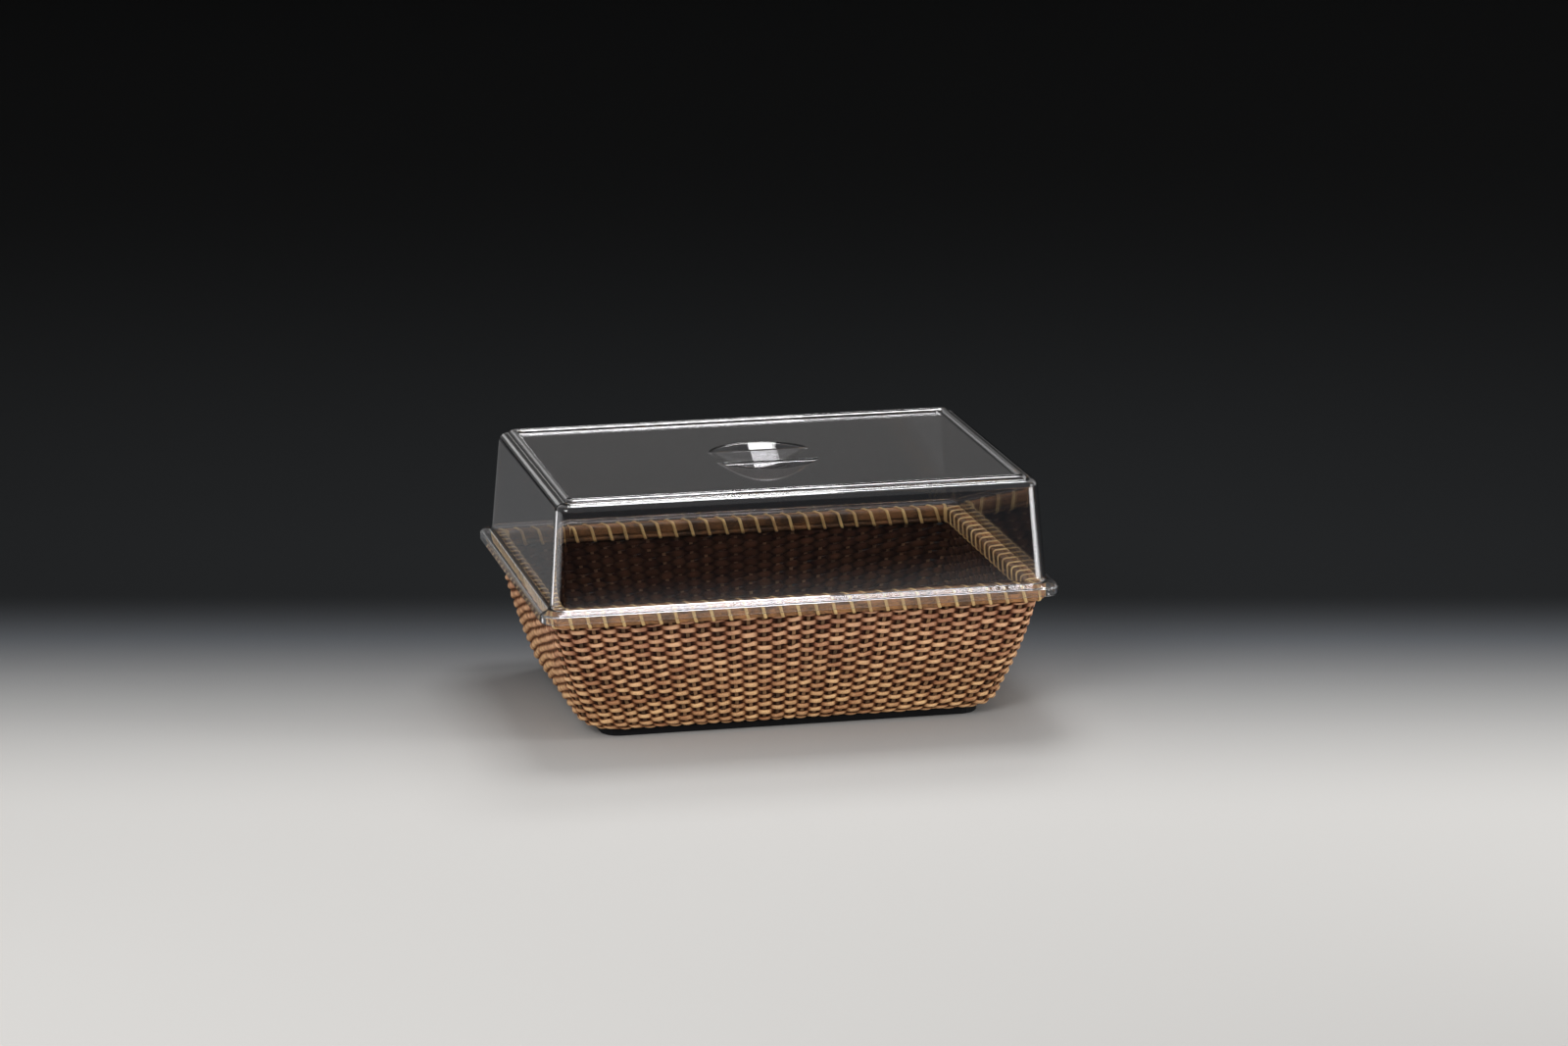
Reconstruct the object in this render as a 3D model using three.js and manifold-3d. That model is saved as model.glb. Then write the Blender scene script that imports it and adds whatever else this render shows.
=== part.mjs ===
// Rectangular rattan serving basket with a clear moulded lift-off cover.
// Millimetres, +Z up. The origin is on the table, under the middle of the base board.
// X runs along the long side, Y along the short side, and the front faces -Y.

import * as THREE from 'three';
import { mergeVertices } from 'three/addons/utils/BufferGeometryUtils.js';
import Module from 'manifold-3d';

const wasm = await Module();
wasm.setup();

// Clearance between pieces that lie against each other
const SEAT_GAP = 0.3;

// Rim, its length and width measured over the lashing
const RIM_LENGTH = 444;
const RIM_WIDTH = 314;
const RIM_CORNER_RADIUS = 18;
const STRIP_HEIGHT = 13.2;
const OUTER_STRIP_THICKNESS = 5.4;
const INNER_STRIP_THICKNESS = 5.4;
const STRIP_CHAMFER = 2.6;
const STRIP_EDGE = 0.6;
const FILLER_HEIGHT = 3.4;

// Stakes that stand between the two rows of strips and carry them
const STAKE_THICKNESS = 3.2;
const STAKE_WIDTH = 4.4;
const BARE_STAKE = 2.6;
const STAKE_ROOT = 0.8;

// Lashing cane, one length wound round the rim on each side
const CANE_WIDTH = 3;
const CANE_THICKNESS = 0.9;
const CANE_CROWN = 0.6;
const LONG_SIDE_LOOPS = 24;
const SHORT_SIDE_LOOPS = 20;
const LASHING_END_MARGIN = 3;

// Woven wall and floor
const WEAVE_HEIGHT = 99.4;
const WEAVE_THICKNESS = 6;
const WEAVE_STAKES = 104;
const ROW_PITCH = 4.1;
const STRAND_RELIEF = 2.9;
const FOOT_LENGTH = 348;
const FOOT_WIDTH = 243;
const FOOT_CORNER_RADIUS = 21;
const FOOT_ROUND_ENDS = 20;
const FOOT_ROUND_SIDES = 11.5;
const FOOT_ROUND_UP = 19;
const FOOT_ROUND_ANGLE = 75;
const FOOT_SEAT = 14;
const WALL_CORNER_RADIUS = 38;
const WALL_TOP_RADIUS = 21;
const WALL_BELLY = 2.2;
const FLOOR_THICKNESS = 5;

// Base board and the tacks that hold it to the weave
const BOARD_THICKNESS = 7;
const BOARD_SET_IN = 4;
const BOARD_EDGE = 1.2;
const TACK_SHANK = 1.6;
const TACK_HEAD = 5;
const TACK_HEAD_HEIGHT = 1;
const TACK_RECESS = 0.4;
const TACK_LENGTH = 10;
const TACK_SET_IN = 4;
const LONG_SIDE_TACKS = 3;
const SHORT_SIDE_TACKS = 2;
const TACK_SPACING = 100;

// Clear cover
const COVER_WALL = 2.5;
const SKIRT_CLEARANCE = 5.5;
const SKIRT_CORNER_RADIUS = 15;
const SKIRT_EDGE = 1.5;
const SKIRT_DROP = 8.5;
const FLANGE_BEARING = 4.1;
const FLANGE_FILLET = 2;
const COVER_WALL_HEIGHT = 83.3;
const COVER_WALL_LEAN = 6.4;
const COVER_CORNER_RADIUS = 12.5;
const SHOULDER_WIDTH = 8;
const SHOULDER_HEIGHT = 6.6;
const BEAD_WIDTH = 9.4;
const BEAD_HEIGHT = 3.5;

// Finger wells moulded into the cover's top, one each side of a bridge
const WELL_LENGTH = 90;
const WELL_REACH = 30;
const WELL_DEPTH = 17.2;
const BRIDGE_WIDTH = 45;

// Facet counts
const CORNER_STEPS = 6;
const ARC_STEPS = 4;
const WALL_STEPS = 4;
const BEAD_STEPS = 6;
const STRIP_CORNER_STEPS = 3;
const WELL_STEPS = 14;
const TACK_SIDES = 6;

// Rim layout: distances in from the lashed outer face
const caneBuildUp = CANE_THICKNESS + SEAT_GAP;
const channelWidth = STAKE_THICKNESS + 2 * SEAT_GAP;
const outerStripInset = caneBuildUp;
const channelInset = outerStripInset + OUTER_STRIP_THICKNESS;
const innerStripInset = channelInset + channelWidth;
const rimBuildUp = innerStripInset + INNER_STRIP_THICKNESS + caneBuildUp;
const stakePlaneInset = channelInset + channelWidth / 2;

// Heights
const boardTop = BOARD_THICKNESS;
const weaveFoot = boardTop + SEAT_GAP;
const weaveTop = weaveFoot + WEAVE_HEIGHT;
const stripBottom = weaveTop + BARE_STAKE;
const stripTop = stripBottom + STRIP_HEIGHT;
const lashingBottom = stripBottom - caneBuildUp;
const lashingTop = stripTop + caneBuildUp;
const fillerBottom = stripTop - FILLER_HEIGHT;
const stakeTop = fillerBottom - SEAT_GAP;
const flangeUnder = lashingTop + SEAT_GAP;
const flangeTop = flangeUnder + COVER_WALL;
const skirtBottom = flangeUnder - SKIRT_DROP;
const shoulderBottom = flangeTop + COVER_WALL_HEIGHT;
const plateTop = shoulderBottom + SHOULDER_HEIGHT;

// Cover layout: distances in from the skirt's outer face
const coverLength = RIM_LENGTH + 2 * (SKIRT_CLEARANCE + COVER_WALL);
const coverWidth = RIM_WIDTH + 2 * (SKIRT_CLEARANCE + COVER_WALL);
const wallFootInset = SKIRT_CLEARANCE + FLANGE_BEARING;
const wallTopInset = wallFootInset + COVER_WALL_LEAN;
const ledgeInset = wallTopInset + SHOULDER_WIDTH;
const webPlane = BRIDGE_WIDTH / 2;

// How far a cutting body runs past the face that it opens
const OVERCUT = 1;

// Smallest radius or width left where a rounding is limited by its wall
const LEAST_ROUND = 0.5;

// The four sides, each modelled as the front and turned into place
const SIDES = [
  { name: 'front', turn: 0, length: RIM_LENGTH, depth: RIM_WIDTH, loops: LONG_SIDE_LOOPS },
  { name: 'right', turn: 90, length: RIM_WIDTH, depth: RIM_LENGTH, loops: SHORT_SIDE_LOOPS },
  { name: 'back', turn: 180, length: RIM_LENGTH, depth: RIM_WIDTH, loops: LONG_SIDE_LOOPS },
  { name: 'left', turn: 270, length: RIM_WIDTH, depth: RIM_LENGTH, loops: SHORT_SIDE_LOOPS },
];

const FINISH = {
  clear: { color: 0xdfe3e8, roughness: 0.06, metalness: 0 },
  board: { color: 0x0b0a0b, roughness: 0.6, metalness: 0 },
  steel: { color: 0x9a9a98, roughness: 0.35, metalness: 1 },
  weave: { color: 0xa07a58, roughness: 0.75, metalness: 0 },
  floor: { color: 0x4a3322, roughness: 0.8, metalness: 0 },
  strip: { color: 0x784f2d, roughness: 0.6, metalness: 0 },
  filler: { color: 0x6a452a, roughness: 0.7, metalness: 0 },
  cane: { color: 0xd2ae7c, roughness: 0.5, metalness: 0 },
};

// Turns a closed three.js geometry into a solid that can be joined and cut
function toSolid(geometry) {
  const bare = geometry.clone();
  bare.deleteAttribute('normal');
  bare.deleteAttribute('uv');
  const merged = mergeVertices(bare, 1e-4);
  const source = merged.index.array;
  const kept = [];
  for (let i = 0; i < source.length; i += 3) {
    const [a, b, c] = [source[i], source[i + 1], source[i + 2]];
    if (a !== b && b !== c && c !== a) {
      kept.push(a, b, c);
    }
  }
  return new wasm.Manifold(new wasm.Mesh({
    numProp: 3,
    vertProperties: new Float32Array(merged.attributes.position.array),
    triVerts: new Uint32Array(kept),
  }));
}

// Turns a solid back into a three.js geometry
function toGeometry(solid) {
  const mesh = solid.getMesh();
  const positions = [];
  for (let i = 0; i < mesh.numVert; i += 1) {
    const at = i * mesh.numProp;
    positions.push(mesh.vertProperties[at], mesh.vertProperties[at + 1], mesh.vertProperties[at + 2]);
  }
  const geometry = new THREE.BufferGeometry();
  geometry.setAttribute('position', new THREE.Float32BufferAttribute(positions, 3));
  geometry.setIndex(Array.from(mesh.triVerts));
  geometry.computeVertexNormals();
  return geometry;
}

// A closed body through rings of equally many points, each anticlockwise seen from the last one.
// The fold says which four-sided faces are split the other way.
function loft(rings, fold = () => false) {
  const count = rings[0].length;
  const positions = rings.flat().flatMap((point) => [point.x, point.y, point.z]);
  const indices = [];
  for (let level = 0; level + 1 < rings.length; level += 1) {
    for (let i = 0; i < count; i += 1) {
      const next = (i + 1) % count;
      const low = level * count;
      const high = low + count;
      if (fold(level, i)) {
        indices.push(low + i, low + next, high + i, low + next, high + next, high + i);
      } else {
        indices.push(low + i, low + next, high + next, low + i, high + next, high + i);
      }
    }
  }
  for (const level of [0, rings.length - 1]) {
    const middle = positions.length / 3;
    const centre = new THREE.Vector3();
    rings[level].forEach((point) => centre.addScaledVector(point, 1 / count));
    positions.push(centre.x, centre.y, centre.z);
    for (let i = 0; i < count; i += 1) {
      const from = level * count + i;
      const to = level * count + ((i + 1) % count);
      indices.push(middle, ...(level === 0 ? [to, from] : [from, to]));
    }
  }
  const geometry = new THREE.BufferGeometry();
  geometry.setAttribute('position', new THREE.Float32BufferAttribute(positions, 3));
  geometry.setIndex(indices);
  geometry.computeVertexNormals();
  return geometry;
}

// Points of a rounded rectangle at one height, anticlockwise, equally many for every size
function roundedRing({ x, y, radius, z }) {
  const r = THREE.MathUtils.clamp(radius, LEAST_ROUND, Math.min(x, y) - LEAST_ROUND);
  const points = [];
  const corners = [[1, 1, 0], [-1, 1, 90], [-1, -1, 180], [1, -1, 270]];
  for (const [sideX, sideY, startAngle] of corners) {
    for (let step = 0; step <= CORNER_STEPS; step += 1) {
      const angle = THREE.MathUtils.degToRad(startAngle + (90 * step) / CORNER_STEPS);
      const pointX = sideX * (x - r) + r * Math.cos(angle);
      const pointY = sideY * (y - r) + r * Math.sin(angle);
      points.push(new THREE.Vector3(pointX, pointY, z));
    }
  }
  return points;
}

// A solid through levels of { x, y, radius, z }, where x and y are half sizes
function stackedSolid(levels) {
  return toSolid(loft(levels.map(roundedRing)));
}

// Base board with eased edges
function boardLevels() {
  const outline = (inset, z) => ({
    x: FOOT_LENGTH / 2 - BOARD_SET_IN - inset,
    y: FOOT_WIDTH / 2 - BOARD_SET_IN - inset,
    radius: FOOT_CORNER_RADIUS - BOARD_SET_IN - inset,
    z,
  });
  return [
    outline(BOARD_EDGE, 0),
    outline(0, BOARD_EDGE),
    outline(0, boardTop - BOARD_EDGE),
    outline(BOARD_EDGE, boardTop),
  ];
}

// Places of the tacks, the same distance in from the board's edge all round
function tackPlaces() {
  const x = FOOT_LENGTH / 2 - BOARD_SET_IN - TACK_SET_IN;
  const y = FOOT_WIDTH / 2 - BOARD_SET_IN - TACK_SET_IN;
  const places = [];
  for (const side of [-1, 1]) {
    for (let i = 0; i < LONG_SIDE_TACKS; i += 1) {
      places.push([TACK_SPACING * (i - (LONG_SIDE_TACKS - 1) / 2), side * y]);
    }
    for (let i = 0; i < SHORT_SIDE_TACKS; i += 1) {
      places.push([side * x, TACK_SPACING * (i - (SHORT_SIDE_TACKS - 1) / 2)]);
    }
  }
  return places;
}

// An upright turned body from a profile of [radius, height], starting and ending on the axis
function turnedBody(profile, [x, y]) {
  const points = profile.map(([radius, z]) => new THREE.Vector2(radius, z));
  const body = new THREE.LatheGeometry(points, TACK_SIDES);
  body.rotateX(Math.PI / 2);
  body.translate(x, y, 0);
  return toSolid(body);
}

// One tack, its head recessed in the board's underside
function tack(place) {
  const headTop = TACK_RECESS + TACK_HEAD_HEIGHT;
  const tip = TACK_RECESS + TACK_LENGTH;
  return turnedBody([
    [0, TACK_RECESS],
    [TACK_HEAD / 2, TACK_RECESS],
    [TACK_HEAD / 2, headTop],
    [TACK_SHANK / 2, headTop],
    [TACK_SHANK / 2, tip - TACK_SHANK],
    [0, tip],
  ], place);
}

// The hole that one tack leaves in the board and the weave
function tackHole(place) {
  const seat = TACK_RECESS + TACK_HEAD_HEIGHT + SEAT_GAP;
  const end = TACK_RECESS + TACK_LENGTH + SEAT_GAP;
  return turnedBody([
    [0, -OVERCUT],
    [TACK_HEAD / 2 + SEAT_GAP, -OVERCUT],
    [TACK_HEAD / 2 + SEAT_GAP, seat],
    [TACK_SHANK / 2 + SEAT_GAP, seat],
    [TACK_SHANK / 2 + SEAT_GAP, end],
    [0, end],
  ], place);
}

function withTackHoles(solid) {
  return tackPlaces().reduce((body, place) => body.subtract(tackHole(place)), solid);
}

// Point of a rounded rectangle at a share of the way round, anticlockwise from the front's middle
function pointRound({ x, y, radius, z }, share) {
  const flats = [x - radius, y - radius];
  const arc = (Math.PI / 2) * radius;
  let rest = share * 4 * (flats[0] + flats[1] + arc);
  for (let side = 0; ; side += 1) {
    const half = flats[side % 2];
    const across = flats[(side + 1) % 2];
    const start = side === 0 ? 0 : -half;
    const run = half - start;
    const turn = (Math.PI / 2) * side;
    if (rest <= run + arc) {
      const bend = Math.max(rest - run, 0) / radius;
      const along = start + Math.min(rest, run) + radius * Math.sin(bend);
      const out = -across - radius * Math.cos(bend);
      const pointX = along * Math.cos(turn) - out * Math.sin(turn);
      const pointY = along * Math.sin(turn) + out * Math.cos(turn);
      return new THREE.Vector3(pointX, pointY, z);
    }
    rest -= run + arc;
  }
}

// Half sizes of the wall's top, in line with the stakes
function wallTop(depth) {
  const out = WEAVE_THICKNESS / 2 - depth - stakePlaneInset;
  return {
    x: RIM_LENGTH / 2 + out,
    y: RIM_WIDTH / 2 + out,
    radius: WALL_TOP_RADIUS - depth,
    z: weaveTop,
  };
}

// Level of the wall's rounded foot, from 0 at the board to 1 where the leaning wall starts
function footLevel(depth, share) {
  const angle = THREE.MathUtils.degToRad(FOOT_ROUND_ANGLE * share);
  return {
    x: FOOT_LENGTH / 2 + (FOOT_ROUND_ENDS - depth) * Math.sin(angle),
    y: FOOT_WIDTH / 2 + (FOOT_ROUND_SIDES - depth) * Math.sin(angle),
    radius: THREE.MathUtils.lerp(FOOT_CORNER_RADIUS, WALL_CORNER_RADIUS - depth, share),
    z: weaveFoot + FOOT_ROUND_UP - (FOOT_ROUND_UP - depth) * Math.cos(angle),
  };
}

// Level of the leaning wall, from 0 to 1, which bows out a little between its ends
function leaningLevel(depth, share) {
  const low = footLevel(depth, 1);
  const high = wallTop(depth);
  const belly = WALL_BELLY * 4 * share * (1 - share);
  return {
    x: THREE.MathUtils.lerp(low.x, high.x, share) + belly,
    y: THREE.MathUtils.lerp(low.y, high.y, share) + belly,
    radius: THREE.MathUtils.lerp(low.radius, high.radius, share),
    z: THREE.MathUtils.lerp(low.z, high.z, share),
  };
}

// Levels of the wall's plain inner face, from the foot up
function innerLevels() {
  const levels = [];
  for (let step = 0; step <= ARC_STEPS; step += 1) {
    levels.push(footLevel(WEAVE_THICKNESS, step / ARC_STEPS));
  }
  for (let step = 1; step <= WALL_STEPS; step += 1) {
    levels.push(leaningLevel(WEAVE_THICKNESS, step / WALL_STEPS));
  }
  return levels;
}

// The wall's woven outer face: in each row the strand passes outside every other stake.
// Faces are folded so that each of those places is a bump by itself.
function wovenFace() {
  const middle = WEAVE_THICKNESS / 2;
  const low = footLevel(middle, 1);
  const high = wallTop(middle);
  const footRadius = ((FOOT_ROUND_ENDS + FOOT_ROUND_SIDES) / 2 + FOOT_ROUND_UP) / 2 - middle;
  const footRun = footRadius * THREE.MathUtils.degToRad(FOOT_ROUND_ANGLE);
  const lean = (high.x - low.x + high.y - low.y) / 2;
  const wallRun = Math.hypot(lean, high.z - low.z);
  const rows = Math.round((footRun + wallRun) / ROW_PITCH);
  const ring = (levelAt) => Array.from({ length: WEAVE_STAKES }, (_, stake) => (
    pointRound(levelAt(stake), (stake + 0.5) / WEAVE_STAKES)));
  const rings = [ring(() => footLevel(0, 0))];
  for (let row = 0; row < rows; row += 1) {
    const run = ((row + 0.5) / rows) * (footRun + wallRun);
    rings.push(ring((stake) => {
      const depth = (stake + row) % 2 === 0 ? 0 : STRAND_RELIEF;
      if (run < footRun) {
        return footLevel(depth, run / footRun);
      }
      return leaningLevel(depth, (run - footRun) / wallRun);
    }));
  }
  rings.push(ring(() => wallTop(0)));
  return toSolid(loft(rings, (level, stake) => (level + stake) % 2 === 1));
}

// Opening through the wall's foot, filled by the floor
function footOpening(clearance, z) {
  return {
    x: FOOT_LENGTH / 2 - FOOT_SEAT - clearance,
    y: FOOT_WIDTH / 2 - FOOT_SEAT - clearance,
    radius: FOOT_CORNER_RADIUS - FOOT_SEAT - clearance,
    z,
  };
}

// Distance from one lashing loop to the next along one side
function loopPitch(side) {
  return (side.length - 2 * (RIM_CORNER_RADIUS + LASHING_END_MARGIN)) / side.loops;
}

// Stake tops of one side, rooted in the wall and ending under the filler
function stakes(side) {
  const root = weaveTop - STAKE_ROOT;
  const pitch = loopPitch(side);
  const tops = [];
  for (let i = 0; i < side.loops; i += 1) {
    const stake = new THREE.BoxGeometry(STAKE_WIDTH, STAKE_THICKNESS, stakeTop - root);
    const along = pitch * (i + 0.5 - side.loops / 2);
    stake.translate(along, stakePlaneInset - side.depth / 2, (stakeTop + root) / 2);
    stake.rotateZ(THREE.MathUtils.degToRad(side.turn));
    tops.push(toSolid(stake));
  }
  return tops;
}

// Woven wall: a flared ring with a rounded foot, and the stakes that stand out of its top
function wovenWall() {
  const inside = innerLevels();
  const top = inside[inside.length - 1];
  const lowest = inside[0];
  const hollow = stackedSolid([
    footOpening(0, weaveFoot - OVERCUT),
    footOpening(0, lowest.z),
    lowest,
    ...inside.slice(1),
    { ...top, z: top.z + OVERCUT },
  ]);
  const ring = wovenFace().subtract(hollow);
  const staked = SIDES.flatMap(stakes).reduce((body, stake) => body.add(stake), ring);
  return withTackHoles(staked);
}

function wovenFloor() {
  return stackedSolid([
    footOpening(SEAT_GAP, weaveFoot),
    footOpening(SEAT_GAP, weaveFoot + FLOOR_THICKNESS),
  ]);
}

// A length of rim with the given section of [inset, height], bent half way round each corner
function rimLength(side, section) {
  const stations = [];
  for (const end of [-1, 1]) {
    for (let step = 0; step <= STRIP_CORNER_STEPS; step += 1) {
      const share = step / STRIP_CORNER_STEPS;
      const bend = end * 45 * (end < 0 ? 1 - share : share);
      stations.push({ end, bend: THREE.MathUtils.degToRad(bend) });
    }
  }
  const centreX = side.length / 2 - RIM_CORNER_RADIUS;
  const centreY = RIM_CORNER_RADIUS - side.depth / 2;
  return loft(stations.map(({ end, bend }, i) => {
    const isEnd = i === 0 || i === stations.length - 1;
    const back = isEnd ? -end * (SEAT_GAP / 2) : 0;
    return section.map(([inset, z]) => new THREE.Vector3(
      end * centreX + (RIM_CORNER_RADIUS - inset) * Math.sin(bend) + back * Math.cos(bend),
      centreY - (RIM_CORNER_RADIUS - inset) * Math.cos(bend) + back * Math.sin(bend),
      z,
    ));
  }));
}

// Section of the outer row: wide chamfers under the lashing, eased edges on the stakes
function outerStripSection() {
  const inset = outerStripInset;
  const far = inset + OUTER_STRIP_THICKNESS;
  return [
    [inset + STRIP_CHAMFER, stripBottom],
    [far - STRIP_EDGE, stripBottom],
    [far, stripBottom + STRIP_EDGE],
    [far, stripTop - STRIP_EDGE],
    [far - STRIP_EDGE, stripTop],
    [inset + STRIP_CHAMFER, stripTop],
    [inset, stripTop - STRIP_CHAMFER],
    [inset, stripBottom + STRIP_CHAMFER],
  ];
}

// Section of the inner row, the mirror image of the outer one
function innerStripSection() {
  const inset = innerStripInset;
  const far = inset + INNER_STRIP_THICKNESS;
  return [
    [inset + STRIP_EDGE, stripBottom],
    [far - STRIP_CHAMFER, stripBottom],
    [far, stripBottom + STRIP_CHAMFER],
    [far, stripTop - STRIP_CHAMFER],
    [far - STRIP_CHAMFER, stripTop],
    [inset + STRIP_EDGE, stripTop],
    [inset, stripTop - STRIP_EDGE],
    [inset, stripBottom + STRIP_EDGE],
  ];
}

// Section of the core that closes the channel above the stakes
function fillerSection() {
  const near = channelInset + SEAT_GAP;
  const far = innerStripInset - SEAT_GAP;
  return [
    [near + STRIP_EDGE, fillerBottom],
    [far - STRIP_EDGE, fillerBottom],
    [far, fillerBottom + STRIP_EDGE],
    [far, stripTop - STRIP_EDGE],
    [far - STRIP_EDGE, stripTop],
    [near + STRIP_EDGE, stripTop],
    [near, stripTop - STRIP_EDGE],
    [near, fillerBottom + STRIP_EDGE],
  ];
}

// Corners of the eight-sided path round the rim, the given depth inside the lashing's face.
// It starts and ends under the channel, and climbs the inner face first.
function lashingPath(depth) {
  const near = depth;
  const far = rimBuildUp - depth;
  const low = lashingBottom + depth;
  const high = lashingTop - depth;
  const chamfer = STRIP_CHAMFER + (caneBuildUp - depth) * (2 - Math.SQRT2);
  return [
    [stakePlaneInset, low],
    [far - chamfer, low],
    [far, low + chamfer],
    [far, high - chamfer],
    [far - chamfer, high],
    [near + chamfer, high],
    [near, high - chamfer],
    [near, low + chamfer],
    [near + chamfer, low],
  ];
}

// Rings of one side's lashing: a flat cane with a crowned outer face, in a steady helix
function lashingRings(side) {
  const outerPath = lashingPath(0);
  const innerPath = lashingPath(CANE_THICKNESS);
  const steps = outerPath.length;
  const lengths = innerPath.map(([inset, z], i) => {
    const [nextInset, nextZ] = innerPath[(i + 1) % steps];
    return Math.hypot(nextInset - inset, nextZ - z);
  });
  const round = lengths.reduce((sum, length) => sum + length, 0);
  const pitch = loopPitch(side);
  const rings = [];
  let travelled = 0;
  for (let i = 0; i <= side.loops * steps; i += 1) {
    const k = i % steps;
    const along = pitch * (travelled / round - side.loops / 2);
    const half = CANE_WIDTH / 2;
    const crown = half * CANE_CROWN;
    const outerY = outerPath[k][0] - side.depth / 2;
    const innerY = innerPath[k][0] - side.depth / 2;
    rings.push([
      new THREE.Vector3(along - half, innerY, innerPath[k][1]),
      new THREE.Vector3(along + half, innerY, innerPath[k][1]),
      new THREE.Vector3(along + crown, outerY, outerPath[k][1]),
      new THREE.Vector3(along - crown, outerY, outerPath[k][1]),
    ]);
    travelled += lengths[k];
  }
  return rings;
}

// Least distance between points of a winding that are more than half a loop apart
function leastSelfGap(rings) {
  const half = Math.ceil(lashingPath(0).length / 2);
  let least = Infinity;
  rings.forEach((ring, i) => {
    rings.slice(i + half).forEach((other) => {
      ring.forEach((a) => other.forEach((b) => {
        least = Math.min(least, a.distanceTo(b));
      }));
    });
  });
  return least;
}

// A quarter ellipse of [inset, height] points, leaving its start upright or level
function quarter([inset, z], across, up, leavesUpright) {
  const points = [];
  for (let step = 0; step <= ARC_STEPS; step += 1) {
    const angle = (Math.PI / 2) * (step / ARC_STEPS);
    const along = leavesUpright ? 1 - Math.cos(angle) : Math.sin(angle);
    const rise = leavesUpright ? Math.sin(angle) : 1 - Math.cos(angle);
    points.push([inset + across * along, z + up * rise]);
  }
  return points;
}

// The raised bead round the top, as [inset, height] points
function bead(inset, width, foot) {
  const points = [];
  for (let step = 0; step <= BEAD_STEPS; step += 1) {
    const share = step / BEAD_STEPS;
    points.push([inset + width * share, foot + BEAD_HEIGHT * Math.sin(Math.PI * share)]);
  }
  return points;
}

// A solid through [inset, height] points of the cover, with a corner radius for each
function coverSolid(points, radiusAt) {
  return stackedSolid(points.map(([inset, z]) => ({
    x: coverLength / 2 - inset,
    y: coverWidth / 2 - inset,
    radius: radiusAt(inset),
    z,
  })));
}

// The cover's outer face: skirt, flange, leaning wall, shoulder, bead and flat top
function coverSkin() {
  const edge = quarter([0, flangeTop - SKIRT_EDGE], SKIRT_EDGE, SKIRT_EDGE, true);
  const filletFoot = [wallFootInset - FLANGE_FILLET, flangeTop];
  const fillet = quarter(filletFoot, FLANGE_FILLET, FLANGE_FILLET, false);
  const shoulder = quarter([wallTopInset, shoulderBottom], SHOULDER_WIDTH, SHOULDER_HEIGHT, true);
  const points = [
    [0, skirtBottom],
    ...edge,
    ...fillet,
    ...shoulder,
    ...bead(ledgeInset, BEAD_WIDTH, plateTop).slice(1),
  ];
  return coverSolid(points, (inset) => {
    if (inset <= SKIRT_EDGE) {
      return SKIRT_CORNER_RADIUS - inset;
    }
    if (inset <= wallFootInset) {
      return COVER_CORNER_RADIUS + wallFootInset - inset;
    }
    return COVER_CORNER_RADIUS - Math.min(Math.max(inset - wallTopInset, 0), SHOULDER_WIDTH);
  });
}

// The space under the cover, one wall thickness inside its outer face
function coverHollow() {
  const innerFoot = wallFootInset + COVER_WALL;
  const innerTop = wallTopInset + COVER_WALL;
  const across = Math.max(SHOULDER_WIDTH - COVER_WALL, LEAST_ROUND);
  const shoulder = quarter([innerTop, shoulderBottom], across, SHOULDER_HEIGHT - COVER_WALL, true);
  const beadFoot = innerTop + across + COVER_WALL / 2;
  const points = [
    [COVER_WALL, skirtBottom - OVERCUT],
    [COVER_WALL, flangeUnder],
    [innerFoot, flangeUnder],
    ...shoulder,
    ...bead(beadFoot, BEAD_WIDTH - COVER_WALL, plateTop - COVER_WALL),
  ];
  return coverSolid(points, (inset) => {
    if (inset <= COVER_WALL) {
      return SKIRT_CORNER_RADIUS - COVER_WALL;
    }
    return COVER_CORNER_RADIUS - COVER_WALL - Math.min(Math.max(inset - innerTop, 0), across);
  });
}

// A scoop behind the +Y face of a web: its floor slopes up from the web to an arc
function scoop(halfChord, reach, depth, web, rim, top) {
  const arcRadius = (halfChord ** 2 + reach ** 2) / (2 * reach);
  const end = halfChord - LEAST_ROUND;
  const rings = [];
  for (let step = 0; step <= WELL_STEPS; step += 1) {
    const x = -end * Math.cos((Math.PI * step) / WELL_STEPS);
    const arc = web + Math.sqrt(arcRadius ** 2 - x ** 2) - (arcRadius - reach);
    const drop = depth * (1 - (x / halfChord) ** 2);
    rings.push([
      new THREE.Vector3(x, web, rim - drop),
      new THREE.Vector3(x, arc, rim),
      new THREE.Vector3(x, arc, top),
      new THREE.Vector3(x, web, top),
    ]);
  }
  return loft(rings);
}

// The finger well's open space and the shell that carries it under the top
function fingerWell(turn) {
  const slope = Math.atan2(WELL_DEPTH, WELL_REACH);
  const buried = COVER_WALL / 2;
  const middle = plateTop - buried;
  const slopeShift = COVER_WALL / Math.sin(slope) - buried / Math.tan(slope);
  const shellReach = COVER_WALL + WELL_REACH + slopeShift;
  const shellDepth = shellReach * Math.tan(slope);
  const shellChord = WELL_LENGTH / 2 + COVER_WALL + buried;
  const shellWeb = webPlane - COVER_WALL;
  const space = scoop(WELL_LENGTH / 2, WELL_REACH, WELL_DEPTH, webPlane, plateTop, plateTop + OVERCUT);
  const shell = scoop(shellChord, shellReach, shellDepth, shellWeb, middle, middle + LEAST_ROUND);
  return [space, shell].map((body) => toSolid(body.rotateZ(THREE.MathUtils.degToRad(turn))));
}

// Clear cover in one moulding
function cover() {
  const wells = [0, 180].map(fingerWell);
  let body = coverSkin().subtract(coverHollow());
  for (const [, shell] of wells) {
    body = body.add(shell);
  }
  for (const [space] of wells) {
    body = body.subtract(space);
  }
  return body;
}

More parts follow.
